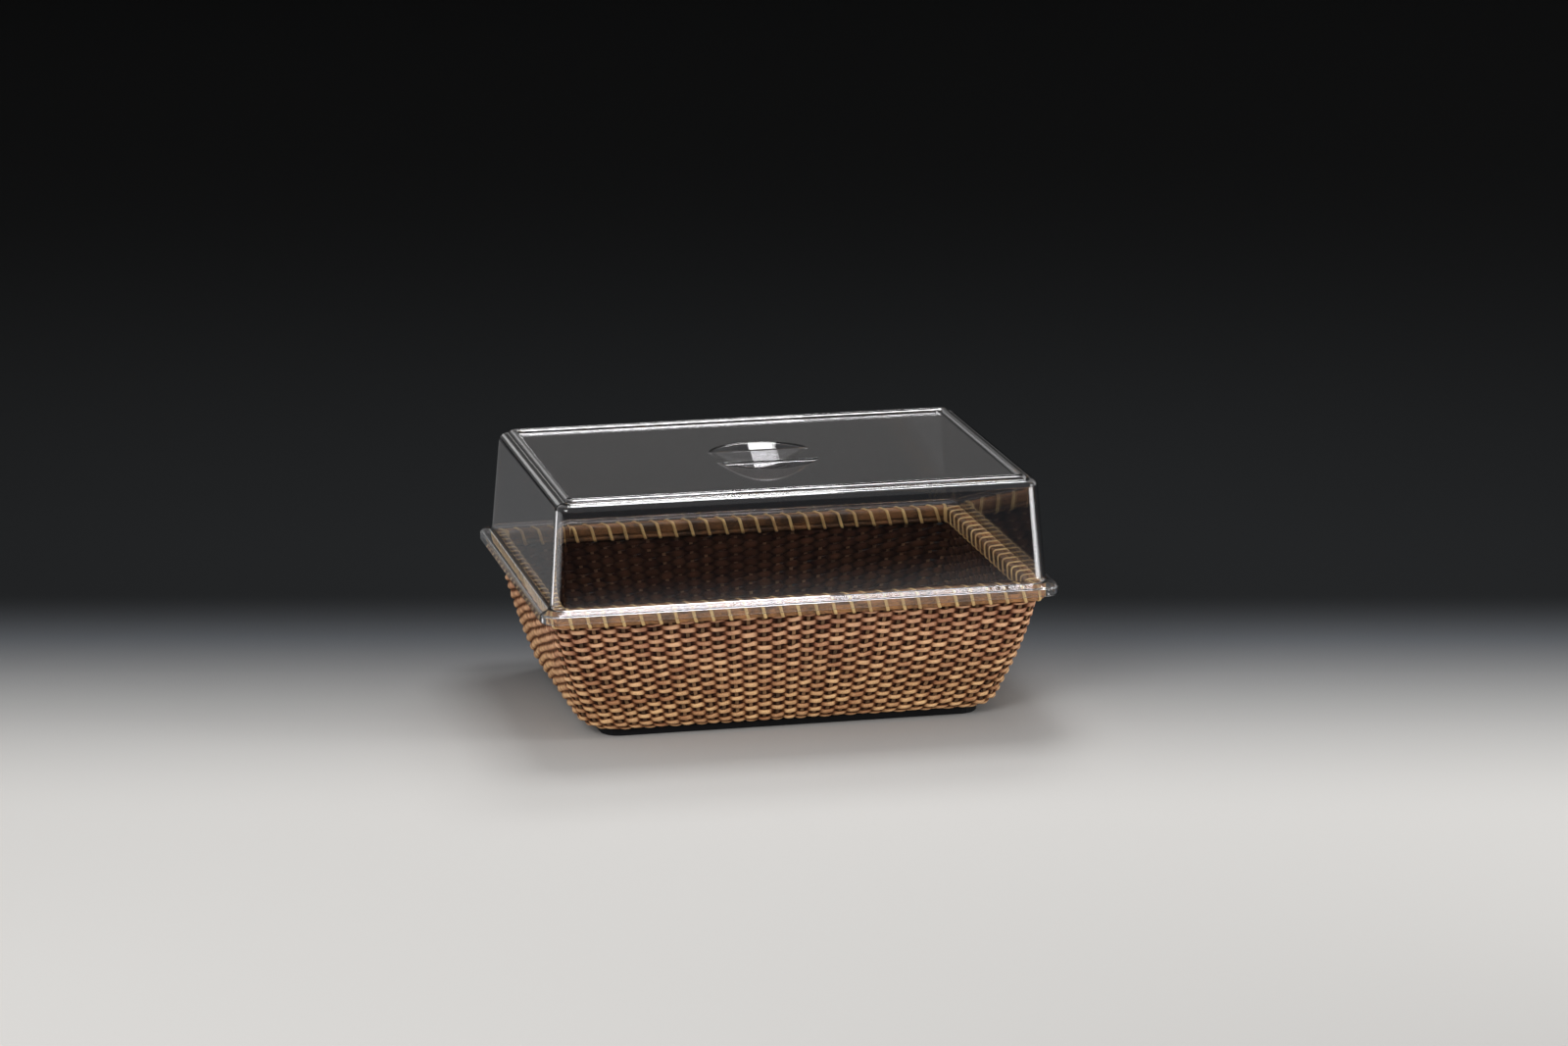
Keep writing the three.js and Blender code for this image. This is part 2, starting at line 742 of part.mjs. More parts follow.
function piece(name, geometry, finish, turn = 0) {
  const mesh = new THREE.Mesh(geometry, new THREE.MeshStandardMaterial(FINISH[finish]));
  mesh.name = name;
  mesh.rotation.z = THREE.MathUtils.degToRad(turn);
  return mesh;
}

// The basket: base board, tacks, floor, wall and bound rim
function basketPieces() {
  const pieces = [
    piece('base_board', toGeometry(withTackHoles(stackedSolid(boardLevels()))), 'board'),
    piece('woven_floor', toGeometry(wovenFloor()), 'floor'),
    piece('woven_wall', toGeometry(wovenWall()), 'weave'),
  ];
  tackPlaces().forEach((place, i) => {
    pieces.push(piece(`base_tack_${i + 1}`, toGeometry(tack(place)), 'steel'));
  });
  for (const side of SIDES) {
    const { name, turn } = side;
    const rings = lashingRings(side);
    console.log(`rim_lashing_${name}: least gap to itself ${leastSelfGap(rings).toFixed(2)} mm`);
    pieces.push(piece(`rim_outer_${name}`, rimLength(side, outerStripSection()), 'strip', turn));
    pieces.push(piece(`rim_inner_${name}`, rimLength(side, innerStripSection()), 'strip', turn));
    pieces.push(piece(`rim_filler_${name}`, rimLength(side, fillerSection()), 'filler', turn));
    pieces.push(piece(`rim_lashing_${name}`, loft(rings), 'cane', turn));
  }
  return pieces;
}

const basket = new THREE.Group();
basket.add(...basketPieces());

const serving = new THREE.Group();
serving.add(basket, piece('cover_shell', toGeometry(cover()), 'clear'));

export default serving;
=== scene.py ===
import math

import bmesh
import bpy
import numpy as np
from bpy.props import FloatProperty, FloatVectorProperty, IntProperty, PointerProperty
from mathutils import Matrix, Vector


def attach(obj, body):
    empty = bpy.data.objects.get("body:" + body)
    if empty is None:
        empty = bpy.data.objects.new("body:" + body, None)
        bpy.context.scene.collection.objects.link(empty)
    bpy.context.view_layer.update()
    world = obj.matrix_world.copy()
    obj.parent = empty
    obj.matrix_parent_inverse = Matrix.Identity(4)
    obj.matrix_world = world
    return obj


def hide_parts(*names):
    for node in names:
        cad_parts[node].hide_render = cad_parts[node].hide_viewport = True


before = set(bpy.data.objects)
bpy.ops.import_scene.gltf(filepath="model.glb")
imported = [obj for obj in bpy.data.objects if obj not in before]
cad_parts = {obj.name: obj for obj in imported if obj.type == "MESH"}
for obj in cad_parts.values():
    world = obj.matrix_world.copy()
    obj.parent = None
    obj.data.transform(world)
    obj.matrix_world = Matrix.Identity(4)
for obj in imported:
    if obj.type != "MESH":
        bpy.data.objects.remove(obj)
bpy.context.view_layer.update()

bl_info = {
    "name": "Domed serving basket",
    "version": (1, 0, 0),
    "blender": (4, 5, 0),
    "location": "View3D > Sidebar > Basket",
    "description": "Rattan serving basket with a clear lift-off cover",
    "category": "Object",
}

SIDES = ("front", "right", "back", "left")

# Rim, in metres, as the frame has it. Insets run inwards from the rim's outer face.
RIM_LENGTH = 0.444
RIM_WIDTH = 0.314
RIM_CORNER = 0.018
RIM_BUILD = 0.017
STRIP_BOTTOM = 0.1093
STRIP_TOP = 0.1225
STRIP_SPLIT = STRIP_BOTTOM + 0.0042
LOW_STRIP_TOP = STRIP_SPLIT - 0.0001
MITRE_GAP = 0.00015
STAKE_LINE = 0.0085
STAKE_TOP = 0.1187

# Strips of each row: near and far inset, bottom, top, rounding of the near and far edges
STRIPS = {
    "outer": ((0.0012, 0.0066, STRIP_SPLIT, STRIP_TOP, 0.0022, 0.0006),
              (0.0014, 0.0058, STRIP_BOTTOM, LOW_STRIP_TOP, 0.0019, 0.0006)),
    "inner": ((0.0104, 0.0158, STRIP_SPLIT, STRIP_TOP, 0.0006, 0.0022),
              (0.0112, 0.0156, STRIP_BOTTOM, LOW_STRIP_TOP, 0.0006, 0.0019)),
    "filler": ((0.0069, 0.0101, STRIP_TOP - 0.0034, STRIP_TOP - 0.0002, 0.0012, 0.0012),),
}

# Lashing, and the cane's section as (share of half the width, height above its middle)
LASHING_BUILD = 0.0012
LASHING_ROUND = 0.0038
LASHING_STRAY = 0.0006
CANE_HALF = 0.00045
CANE_SECTION = ((-1, -CANE_HALF), (1, -CANE_HALF), (0.92, 0.0001), (0.45, CANE_HALF),
                (-0.45, CANE_HALF), (-0.92, 0.0001))

# Wall and foot of the weave
WEAVE_FOOT = 0.0073
WEAVE_TOP = 0.1067
WEAVE_THICKNESS = 0.006
FOOT_X = 0.174
FOOT_Y = 0.1215
FOOT_CORNER = 0.021
FOOT_ROUND_X = 0.02
FOOT_ROUND_Y = 0.0115
FOOT_ROUND_UP = 0.019
FOOT_ANGLE = math.radians(75)
FOOT_FLAT = 0.0125
FOOT_STEPS = 4
CURVE_STEPS = 12
WALL_CORNER = 0.038
WALL_TOP_CORNER = 0.021
WALL_BELLY = 0.0022

# Woven rows and stakes of the wall, and how uneven they are
ROWS_UNDER_FOOT = 3
STRAND_STEPS = 6
STRAND_CREST = 0.6
ROW_SLOPE = 0.0004
SLOPE_SPREAD = 0.9
LEAST_SLOPE = -0.7
CREST_DROP = 0.00041
ROW_STRAY = 0.00028
TOP_ROW_WIDTH = 0.56
STAKE_RINGS = 22
STAKE_HALF = 0.0009

# Woven floor
FLOOR_X = 0.1595
FLOOR_Y = 0.107
FLOOR_CORNER = 0.0067
FLOOR_MIDDLE = WEAVE_FOOT + 0.0025
FLOOR_PITCH = 0.0122
FLOOR_SWING = 0.0014
FLOOR_STRAND = 0.0039
FLOOR_STRAND_HALF = 0.001
FLOOR_STAKE = 0.0026
FLOOR_STAKE_HALF = 0.0008
FLOOR_STAKE_END = FLOOR_Y - 0.001
FLOOR_STAKES_ASIDE = 12
# Floor strands take the dark brown of the weave's inside face
FLOOR_MARK = -0.6

# Cover
COVER_X = 0.230
COVER_Y = 0.165
COVER_WALL = 0.0025
SKIRT_BOTTOM = 0.1155
SKIRT_EDGE = 0.0004
FLANGE_TOP = 0.1265
FLANGE_EDGE = 0.1235
FLANGE_REST = 0.0088
SHOULDER_BOTTOM = 0.2098
SHOULDER_HEIGHT = 0.0066
SHOULDER_WIDTH = 0.008
PLATE_TOP = 0.2164
PLATE_BORDER = 0.0006
WALL_FOOT_INSET = 0.0096
WALL_TOP_INSET = 0.016
OUTER_CORNER = 0.0125
INNER_CORNER = 0.010
BEAD_WIDTH = 0.0094
BEAD_HEIGHT = 0.0035
BEAD_STEPS = 14
WELL_WEB = 0.0225
WELL_HALF = 0.045
WELL_REACH = 0.030
WELL_DEPTH = 0.0172
WELL_LIP = 0.0025
WELL_ROUNDS = (0.0022, 0.0016)
INNER_WELL_HALF = WELL_HALF + 0.0023
INNER_WELL_ROUNDS = (0.0006, 0.0034)
WELL_COLUMNS = 45
WELL_ROWS = 20

# Camera and lamps. A lamp is its name, place, aim, size and power.
CAMERA_PLACE = (-0.9885, -4.3370, 1.2595)
CAMERA_TURN = math.radians(13.078)
CAMERA_TILT = math.radians(90 - 13.957)
WORLD_STRENGTH = 0.32
CARD_SPREAD = math.radians(80)
LAMPS = (
    ("flange_softbox", (0.47, 1.19, 1.72), (0.47, -0.16, 0.12), (0.70, 0.42), 8.5),
    ("well_softbox", (0.12, 0.48, 1.75), (0.12, 0.04, 0.2), (0.62, 0.42), 9),
    ("front_softbox", (-1.6, -1.9, 1.5), (0, 0, 0.1), (1.2, 1.2), 31),
    ("side_softbox", (1.9, -1.0, 1.0), (0, 0, 0.1), (0.5, 1.3), 12),
    ("right_card", (1.05, -0.85, 0.08), (0.215, -0.155, 0.17), (0.8, 0.15), 0.6),
    ("left_card", (-1.0, -0.25, 0.08), (-0.215, -0.155, 0.17), (1.0, 0.15), 0.16),
    ("pane_card", (-0.31, 0.42, 0.075), (-0.217, 0, 0.17), (0.16, 0.16), 0.0016),
    ("corner_card", (-0.62, 0.27, 0.075), (-0.215, -0.155, 0.17), (0.35, 0.15), 0.035),
    ("back_card", (-0.6, 3.0, 1.15), (-0.6, 0, 0.15), (0.6, 0.5), 0.15),
)


class BasketSizes(bpy.types.PropertyGroup):
    stake_count: IntProperty(
        name="Stakes", description="Upright stakes round the wall, an even number",
        default=104, min=40, max=160)
    row_pitch: FloatProperty(
        name="Row pitch", description="Distance from one woven row to the next",
        default=0.0041, unit='LENGTH', precision=4)
    strand_width: FloatProperty(
        name="Strand width", description="Width of a strand of the wall, along its height",
        default=0.0046, unit='LENGTH', precision=4)
    strand_thickness: FloatProperty(
        name="Strand thickness", description="Thickness of a woven strand, through the wall",
        default=0.0027, unit='LENGTH', precision=4)
    stake_width: FloatProperty(
        name="Stake width", description="Width of an upright stake",
        default=0.0033, unit='LENGTH', precision=4)
    cane_width: FloatProperty(
        name="Cane width", description="Width of the cane that lashes the rim",
        default=0.003, unit='LENGTH', precision=4)
    lashing_pitch: FloatProperty(
        name="Lashing pitch", description="Distance from one lashing loop to the next",
        default=0.0155, unit='LENGTH', precision=4)
    corner_steps: IntProperty(
        name="Corner steps", description="Facets in each rounded corner of the cover",
        default=12, min=4, max=32)


class BasketColours(bpy.types.PropertyGroup):
    strand: FloatVectorProperty(
        name="Strand", description="Darkest rattan on the outside of the wall",
        subtype='COLOR', size=3, default=(0.46, 0.215, 0.100))
    strand_pale: FloatVectorProperty(
        name="Pale strand", description="Palest rattan on the outside of the wall",
        subtype='COLOR', size=3, default=(0.94, 0.585, 0.290))
    # Dark brown of the weave's inside face; darker copies of it paint the shade half way through
    # the wall
    inside_dark: FloatVectorProperty(
        name="Inside dark", description="Share of light that the inside of the weave still gives back",
        subtype='COLOR', size=3, default=(0.070, 0.045, 0.032))
    strip: FloatVectorProperty(
        name="Rim strip", description="Brown rattan strip of the rim",
        subtype='COLOR', size=3, default=(0.330, 0.150, 0.052))
    cane: FloatVectorProperty(
        name="Cane", description="Glossy cane skin of the lashing",
        subtype='COLOR', size=3, default=(0.95, 0.59, 0.25))
    board: FloatVectorProperty(
        name="Board", description="Black paint of the base board",
        subtype='COLOR', size=3, default=(0.0022, 0.0022, 0.003))
    clear: FloatVectorProperty(
        name="Clear plastic", description="Tint of the cover",
        subtype='COLOR', size=3, default=(0.965, 0.955, 0.975))
    ground: FloatVectorProperty(
        name="Ground", description="Pale floor round the basket",
        subtype='COLOR', size=3, default=(0.72, 0.705, 0.685))
    # Far end of the floor's painted light falloff
    backdrop: FloatVectorProperty(
        name="Backdrop", description="Grey that the floor fades to in the distance",
        subtype='COLOR', size=3, default=(0.0105, 0.0115, 0.0125))


def fresh_mesh(name):
    """An empty mesh object at the origin, in edit mode."""
    bpy.ops.object.select_all(action='DESELECT')
    bpy.ops.mesh.primitive_plane_add(size=0.01, location=(0, 0, 0))
    obj = bpy.context.object
    obj.name = obj.data.name = name
    bpy.ops.object.mode_set(mode='EDIT')
    bpy.ops.mesh.delete(type='VERT')
    return obj


def edit_mesh():
    return bmesh.from_edit_mesh(bpy.context.edit_object.data)


def show_edit():
    bmesh.update_edit_mesh(bpy.context.edit_object.data)


def select_where(test, kind):
    """Selects the vertices whose place passes the test, and nothing else."""
    bpy.ops.mesh.select_mode(type=kind)
    bpy.ops.mesh.select_all(action='DESELECT')
    bm = edit_mesh()
    for vert in bm.verts:
        vert.select = test(vert.co)
    bm.select_flush(True)
    show_edit()


def close_mesh(obj, angle):
    """Back to object mode, with faces outwards and smooth shading."""
    bpy.ops.mesh.select_all(action='SELECT')
    bpy.ops.mesh.remove_doubles(threshold=1e-6)
    bpy.ops.mesh.normals_make_consistent(inside=False)
    bpy.ops.object.mode_set(mode='OBJECT')
    bpy.ops.object.shade_smooth_by_angle(angle=math.radians(angle))
    bpy.ops.object.modifier_add(type='WEIGHTED_NORMAL')
    obj.modifiers[-1].keep_sharp = True
    obj.modifiers[-1].weight = 80
    bpy.ops.object.modifier_apply(modifier=obj.modifiers[-1].name)


def tube_mesh(name, tubes, closed):
    """One object of many tubes. A tube is (points[ring, side, 3], marks[ring, side]).

    The UV map runs along each tube in metres and round it from 0 to 1, plus the tube's number.
    The marks are kept in the attribute "outer".
    """
    verts, faces, uvs, marks = [], [], [], []
    base = 0
    for number, (points, mark) in enumerate(tubes):
        rings, sides = points.shape[:2]
        middle = points.mean(axis=1)
        steps = np.linalg.norm(np.diff(np.vstack([middle, middle[:1]]), axis=0), axis=1)
        along = np.concatenate([[0], np.cumsum(steps)])
        verts += points.reshape(-1, 3).tolist()
        marks += mark.ravel().tolist()
        for i in range(rings if closed else rings - 1):
            low = base + i * sides
            high = base + ((i + 1) % rings) * sides
            for j in range(sides):
                k = (j + 1) % sides
                faces.append((low + j, low + k, high + k, high + j))
                uvs += [(along[i + ring], number + (j + side) / sides)
                        for ring, side in ((0, 0), (0, 1), (1, 1), (1, 0))]
        if not closed:
            for ring, order in ((0, range(sides)[::-1]), (rings - 1, range(sides))):
                faces.append(tuple(base + ring * sides + j for j in order))
                uvs += [(along[ring], number + j / sides) for j in order]
        base += rings * sides
    mesh = bpy.data.meshes.new(name)
    mesh.from_pydata(verts, [], faces)
    layer = mesh.uv_layers.new(name="strand")
    layer.data.foreach_set("uv", np.asarray(uvs, dtype=np.float32).ravel())
    outer = mesh.attributes.new("outer", 'FLOAT', 'POINT')
    outer.data.foreach_set("value", marks)
    obj = bpy.data.objects.new(name, mesh)
    bpy.context.collection.objects.link(obj)
    bpy.ops.object.select_all(action='DESELECT')
    obj.select_set(True)
    bpy.context.view_layer.objects.active = obj
    bpy.ops.object.mode_set(mode='EDIT')
    bpy.ops.mesh.select_all(action='SELECT')
    bpy.ops.mesh.normals_make_consistent(inside=False)
    bpy.ops.object.mode_set(mode='OBJECT')
    bpy.ops.object.shade_smooth_by_angle(angle=math.radians(60))
    return obj


def finish_piece(obj, material, body, node):
    obj.data.materials.clear()
    obj.data.materials.append(material)
    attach(obj, body)
    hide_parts(node)


def scaled(colour, factor):
    return tuple(factor * c for c in colour)


def set_inputs(tree, node, inputs):
    """Links each input to the socket given for it, or sets it to the value given."""
    for key, source in inputs.items():
        if isinstance(source, bpy.types.NodeSocket):
            tree.links.new(source, node.inputs[key])
        else:
            node.inputs[key].default_value = source


def add_node(tree, kind, inputs, **settings):
    """A node with its settings, and its inputs linked to sockets or set to values."""
    node = tree.nodes.new(kind)
    for key, value in settings.items():
        setattr(node, key, value)
    set_inputs(tree, node, inputs)
    return node


def maths(tree, operation, first, second, clamp=False):
    return add_node(tree, 'ShaderNodeMath', {0: first, 1: second}, operation=operation,
                    use_clamp=clamp).outputs[0]


def map_range(tree, source, near, far, low=0.0, high=1.0, kind='LINEAR'):
    """Takes the source from the range near to far to the range low to high."""
    inputs = {'Value': source, 'From Min': near, 'From Max': far, 'To Min': low, 'To Max': high}
    return add_node(tree, 'ShaderNodeMapRange', inputs, interpolation_type=kind).outputs[0]


def noise(tree, place, scale, detail, roughness=0.5):
    inputs = {'Vector': place, 'Scale': scale, 'Detail': detail, 'Roughness': roughness}
    return add_node(tree, 'ShaderNodeTexNoise', inputs).outputs['Fac']


def ramp(tree, source, stops):
    node = add_node(tree, 'ShaderNodeValToRGB', {'Fac': source})
    elements = node.color_ramp.elements
    elements[0].position, elements[0].color = stops[0][0], (*stops[0][1], 1)
    elements[1].position, elements[1].color = stops[-1][0], (*stops[-1][1], 1)
    for position, colour in stops[1:-1]:
        elements.new(position).color = (*colour, 1)
    return node.outputs[0]


def multiply(tree, first, second):
    """Two colours multiplied."""
    return add_node(tree, 'ShaderNodeMix', {0: 1.0, 6: first, 7: second},
                    data_type='RGBA', blend_type='MULTIPLY').outputs[2]


def bump(tree, height, strength, distance):
    inputs = {'Strength': strength, 'Distance': distance, 'Height': height}
    return add_node(tree, 'ShaderNodeBump', inputs).outputs[0]


def object_place(tree, scale=None):
    """Place on the object, stretched by the scale where one is given."""
    place = add_node(tree, 'ShaderNodeTexCoord', {}).outputs['Object']
    if scale is None:
        return place
    return add_node(tree, 'ShaderNodeMapping', {'Vector': place, 'Scale': scale}).outputs[0]


def split_axes(tree, place):
    return add_node(tree, 'ShaderNodeSeparateXYZ', {0: place}).outputs


def new_group(name, inputs, outputs):
    """A shader group with the given sockets, its input node and its output node."""
    group = bpy.data.node_groups.new(name, 'ShaderNodeTree')
    for socket, kind, value in inputs:
        made = group.interface.new_socket(socket, in_out='INPUT', socket_type=kind)
        made.default_value = value
    for socket, kind in outputs:
        group.interface.new_socket(socket, in_out='OUTPUT', socket_type=kind)
    return group, group.nodes.new('NodeGroupInput'), group.nodes.new('NodeGroupOutput')


def grain_group():
    """Fibres of rattan along U, with slow changes of tone from strand to strand."""
    group, inside, out = new_group(
        "Rattan grain",
        [("Vector", 'NodeSocketVector', (0.0, 0.0, 0.0)),
         ("Dark", 'NodeSocketColor', (0.1, 0.05, 0.02, 1)),
         ("Light", 'NodeSocketColor', (0.6, 0.4, 0.2, 1)),
         ("Fibre", 'NodeSocketFloat', 1.0), ("Length", 'NodeSocketFloat', 1.0)],
        [("Color", 'NodeSocketColor'), ("Height", 'NodeSocketFloat')])
    given = inside.outputs
    along, across, through = split_axes(group, given['Vector'])
    run = maths(group, 'MULTIPLY', along, given['Length'])
    stretched = add_node(group, 'ShaderNodeCombineXYZ', {'X': run, 'Y': across, 'Z': through})
    fibre = noise(group, stretched.outputs[0], 9.0, 4.0, 0.65)
    strand = add_node(group, 'ShaderNodeMath', {0: across}, operation='FLOOR').outputs[0]
    place = add_node(group, 'ShaderNodeCombineXYZ',
                     {'X': maths(group, 'MULTIPLY', along, 45.0),
                      'Y': maths(group, 'MULTIPLY', strand, 7.31)})
    tone = map_range(group, noise(group, place.outputs[0], 1.0, 2.0), 0.34, 0.64)
    streak = map_range(group, fibre, 0.3, 0.72, -0.35, 0.35)
    streak = maths(group, 'MULTIPLY', streak, given['Fibre'])
    total = maths(group, 'ADD', tone, streak, clamp=True)
    colour = add_node(group, 'ShaderNodeMix', {0: total, 6: given['Dark'], 7: given['Light']},
                      data_type='RGBA')
    set_inputs(group, out, {'Color': colour.outputs[2], 'Height': fibre})
    return group


def new_material(name):
    material = bpy.data.materials.new(name)
    material.use_nodes = True
    tree = material.node_tree
    tree.nodes.clear()
    out = tree.nodes.new('ShaderNodeOutputMaterial')
    shader = tree.nodes.new('ShaderNodeBsdfPrincipled')
    tree.links.new(shader.outputs[0], out.inputs['Surface'])
    return material, tree, shader


def painted_weave_shades(inside_dark):
    """Painted shade through the weave, picked by "outer": darkest half way through the wall,
    where strands pass behind the stakes and each other, a dark brown on the inside face, and none
    on the outer crests.
    """
    # Darkest painted shade, half way through the wall between the strands
    painted_gap_shade = (0.62 * inside_dark[0], 0.38 * inside_dark[1], 0.2 * inside_dark[2])
    return [(0.0, scaled(inside_dark, 1.9)), (0.25, scaled(inside_dark, 0.9)), (0.5, painted_gap_shade),
            (0.66, (0.20, 0.12, 0.07)), (0.79, (0.60, 0.50, 0.46)), (0.92, (1.0, 1.0, 1.0))]


def shaded_colour(tree, colour, painted_shade_stops, high_tint):
    """Colour with painted shade where "outer" is low, and shifted to another tint up the wall.

    The second result is "outer", taken to the range 0 to 1.
    """
    mark = add_node(tree, 'ShaderNodeAttribute', {}, attribute_name="outer").outputs['Fac']
    outer = map_range(tree, mark, -1.0, 1.0)
    high = map_range(tree, split_axes(tree, object_place(tree))['Z'], 0.03, 0.1)
    tint = ramp(tree, high, [(0.0, (1.0, 1.0, 1.0)), (1.0, high_tint)])
    return multiply(tree, multiply(tree, colour, ramp(tree, outer, painted_shade_stops)), tint), outer


def rattan_material(name, light, dark, painted_shade_stops=None, high_tint=None, fibre=1.0, length=120.0,
                    roughness=0.55, specular=0.5, coat=0.0, relief=0.0002):
    """Rattan with fibres along U. Where painted shade stops are given, "outer" picks among them.
    """
    material, tree, shader = new_material(name)
    group = bpy.data.node_groups.get("Rattan grain") or grain_group()
    grain = add_node(tree, 'ShaderNodeGroup', {}, node_tree=group)
    uv = add_node(tree, 'ShaderNodeUVMap', {}, uv_map="strand").outputs[0]
    set_inputs(tree, grain, {'Vector': uv, 'Light': (*light, 1), 'Dark': (*dark, 1),
                             'Fibre': fibre, 'Length': length})
    colour, height = grain.outputs['Color'], grain.outputs['Height']
    gloss = map_range(tree, height, 0.0, 1.0, roughness - 0.1, roughness + 0.12)
    if painted_shade_stops:
        colour, outer = shaded_colour(tree, colour, painted_shade_stops, high_tint)
        dull = map_range(tree, outer, 0.45, 0.8, 0.32, 0.0)
        gloss = maths(tree, 'ADD', gloss, dull, clamp=True)
    set_inputs(tree, shader, {
        'Base Color': colour, 'Roughness': gloss, 'Specular IOR Level': specular,
        'Coat Weight': coat, 'Coat Roughness': 0.25, 'Normal': bump(tree, height, 0.6, relief)})
    return material


def board_material(colour):
    """Satin black paint, with fine brush strokes along the board."""
    material, tree, shader = new_material("Black painted board")
    strokes = noise(tree, object_place(tree, (12, 260, 260)), 1.0, 5.0)
    cloudy = noise(tree, object_place(tree), 60.0, 3.0)
    worn = tuple(2.2 * c + 0.001 for c in colour)
    set_inputs(tree, shader, {
        'Base Color': ramp(tree, strokes, [(0.35, colour), (0.7, worn)]),
        'Roughness': map_range(tree, cloudy, 0.0, 1.0, 0.5, 0.75),
        'Specular IOR Level': 0.2,
        'Normal': bump(tree, strokes, 0.4, 0.0002)})
    return material


def steel_material():
    material, tree, shader = new_material("Tack steel")
    marks = noise(tree, object_place(tree), 900.0, 4.0)
    set_inputs(tree, shader, {
        'Base Color': ramp(tree, marks, [(0.3, (0.38, 0.37, 0.36)), (0.7, (0.62, 0.61, 0.6))]),
        'Roughness': map_range(tree, marks, 0.0, 1.0, 0.25, 0.5),
        'Metallic': 1.0})
    return material


def clear_material(colour):
    """Clear polished plastic, with faint wipe marks in its gloss."""
    material, tree, shader = new_material("Clear plastic")
    marks = noise(tree, object_place(tree, (18, 40, 30)), 1.0, 6.0, 0.6)
    set_inputs(tree, shader, {
        'Base Color': (*colour, 1),
        'Roughness': map_range(tree, marks, 0.4, 1.0, 0.0, 0.01),
        'Transmission Weight': 1.0,
        'IOR': 1.49})
    return material


def unit(vectors):
    return vectors / np.linalg.norm(vectors, axis=1)[:, None]


def flattened(wave, power):
    """The wave with flatter crests, for a power below 1."""
    return np.sign(wave) * np.abs(wave) ** power


def ripple(share, waves, height, shift=0.0):
    """A slow wave round the wall."""
    return height * np.sin(2 * np.pi * waves * share + shift)


def round_rectangle(half_x, half_y, radius):
    """Closed plan outline, anticlockwise from the middle of the front, as an array."""
    steps = 16
    points = [(0.0, -half_y)]
    for turn, (sx, sy) in zip((-90, 0, 90, 180), ((1, -1), (1, 1), (-1, 1), (-1, -1))):
        for step in range(steps + 1):
            angle = math.radians(turn + 90 * step / steps)
            points.append((sx * (half_x - radius) + radius * math.cos(angle),
                           sy * (half_y - radius) + radius * math.sin(angle)))
    points.append((0.0, -half_y))
    return np.array(points)


def wall_levels():
    """Levels (half_x, half_y, radius, z) in the middle of the weave, from foot to rim."""
    depth = WEAVE_THICKNESS / 2
    levels = []
    for step in range(FOOT_STEPS + 1):
        back = FOOT_FLAT * (1 - step / FOOT_STEPS)
        levels.append((FOOT_X - back, FOOT_Y - back, FOOT_CORNER - back, WEAVE_FOOT + depth))
    shares = [step / CURVE_STEPS for step in range(1, CURVE_STEPS + 1)]
    for share in shares:
        angle = FOOT_ANGLE * share
        levels.append((FOOT_X + (FOOT_ROUND_X - depth) * math.sin(angle),
                       FOOT_Y + (FOOT_ROUND_Y - depth) * math.sin(angle),
                       FOOT_CORNER + (WALL_CORNER - depth - FOOT_CORNER) * share,
                       WEAVE_FOOT + FOOT_ROUND_UP - (FOOT_ROUND_UP - depth) * math.cos(angle)))
    low = levels[-1]
    high = (RIM_LENGTH / 2 - STAKE_LINE, RIM_WIDTH / 2 - STAKE_LINE,
            WALL_TOP_CORNER - depth, WEAVE_TOP)
    for share in shares:
        belly = WALL_BELLY * 4 * share * (1 - share)
        level = [a + (b - a) * share for a, b in zip(low, high)]
        levels.append((level[0] + belly, level[1] + belly, level[2], level[3]))
    return np.array(levels)


class WeaveSurface:
    """Middle surface of the wall: a point for each share round and each distance up."""

    def __init__(self):
        levels = wall_levels()
        span = np.hypot(np.hypot(np.diff(levels[:, 0]), np.diff(levels[:, 1])) / math.sqrt(2),
                        np.diff(levels[:, 3]))
        self.up = np.concatenate([[0], np.cumsum(span)])
        self.levels = levels
        self.length = self.up[-1]
        self.foot_start = self.up[FOOT_STEPS]
        self.wall_start = self.up[FOOT_STEPS + CURVE_STEPS]
        low, high = levels[FOOT_STEPS + CURVE_STEPS], levels[-1]
        lean = ((high[0] - low[0]) + (high[1] - low[1])) / 2
        self.wall_run = math.hypot(lean, high[3] - low[3])
        foot_round = ((FOOT_ROUND_X + FOOT_ROUND_Y) / 2 + FOOT_ROUND_UP) / 2
        self.foot_run = (foot_round - WEAVE_THICKNESS / 2) * FOOT_ANGLE

    def row_place(self, run):
        """Distance up the surface of a row, from its run past the edge of the flat foot."""
        if run < 0:
            return self.foot_start + run
        if run < self.foot_run:
            return self.foot_start + (self.wall_start - self.foot_start) * run / self.foot_run
        share = (run - self.foot_run) / self.wall_run
        return self.wall_start + (self.length - self.wall_start) * share

    def point(self, share, up):
        """Points for an array of shares at one distance up."""
        half_x, half_y, radius, z = (np.interp(up, self.up, level) for level in self.levels.T)
        outline = round_rectangle(half_x, half_y, max(radius, 0.002))
        steps = np.linalg.norm(np.diff(outline, axis=0), axis=1)
        along = np.concatenate([[0], np.cumsum(steps)]) / steps.sum()
        share = np.mod(share, 1.0)
        return np.stack([np.interp(share, along, outline[:, 0]),
                         np.interp(share, along, outline[:, 1]),
                         np.full_like(share, z)], axis=1)

    def frames(self, share, up):
        """Points with their outward and upward directions, on past the surface's top edge."""
        past = max(up - self.length, 0.0)
        up -= past
        step = 0.0008
        upward = unit(self.point(share, min(up + step, self.length))
                      - self.point(share, max(up - step, 0.0)))
        onward = unit(self.point(share + 0.002, up) - self.point(share - 0.002, up))
        return self.point(share, up) + upward * past, unit(np.cross(onward, upward)), upward


def stray_share(share):
    """Share round the wall with the small strays of the stakes' spacing."""
    return share + ripple(share, 7, 0.0005) + ripple(share, 17, 0.0004)


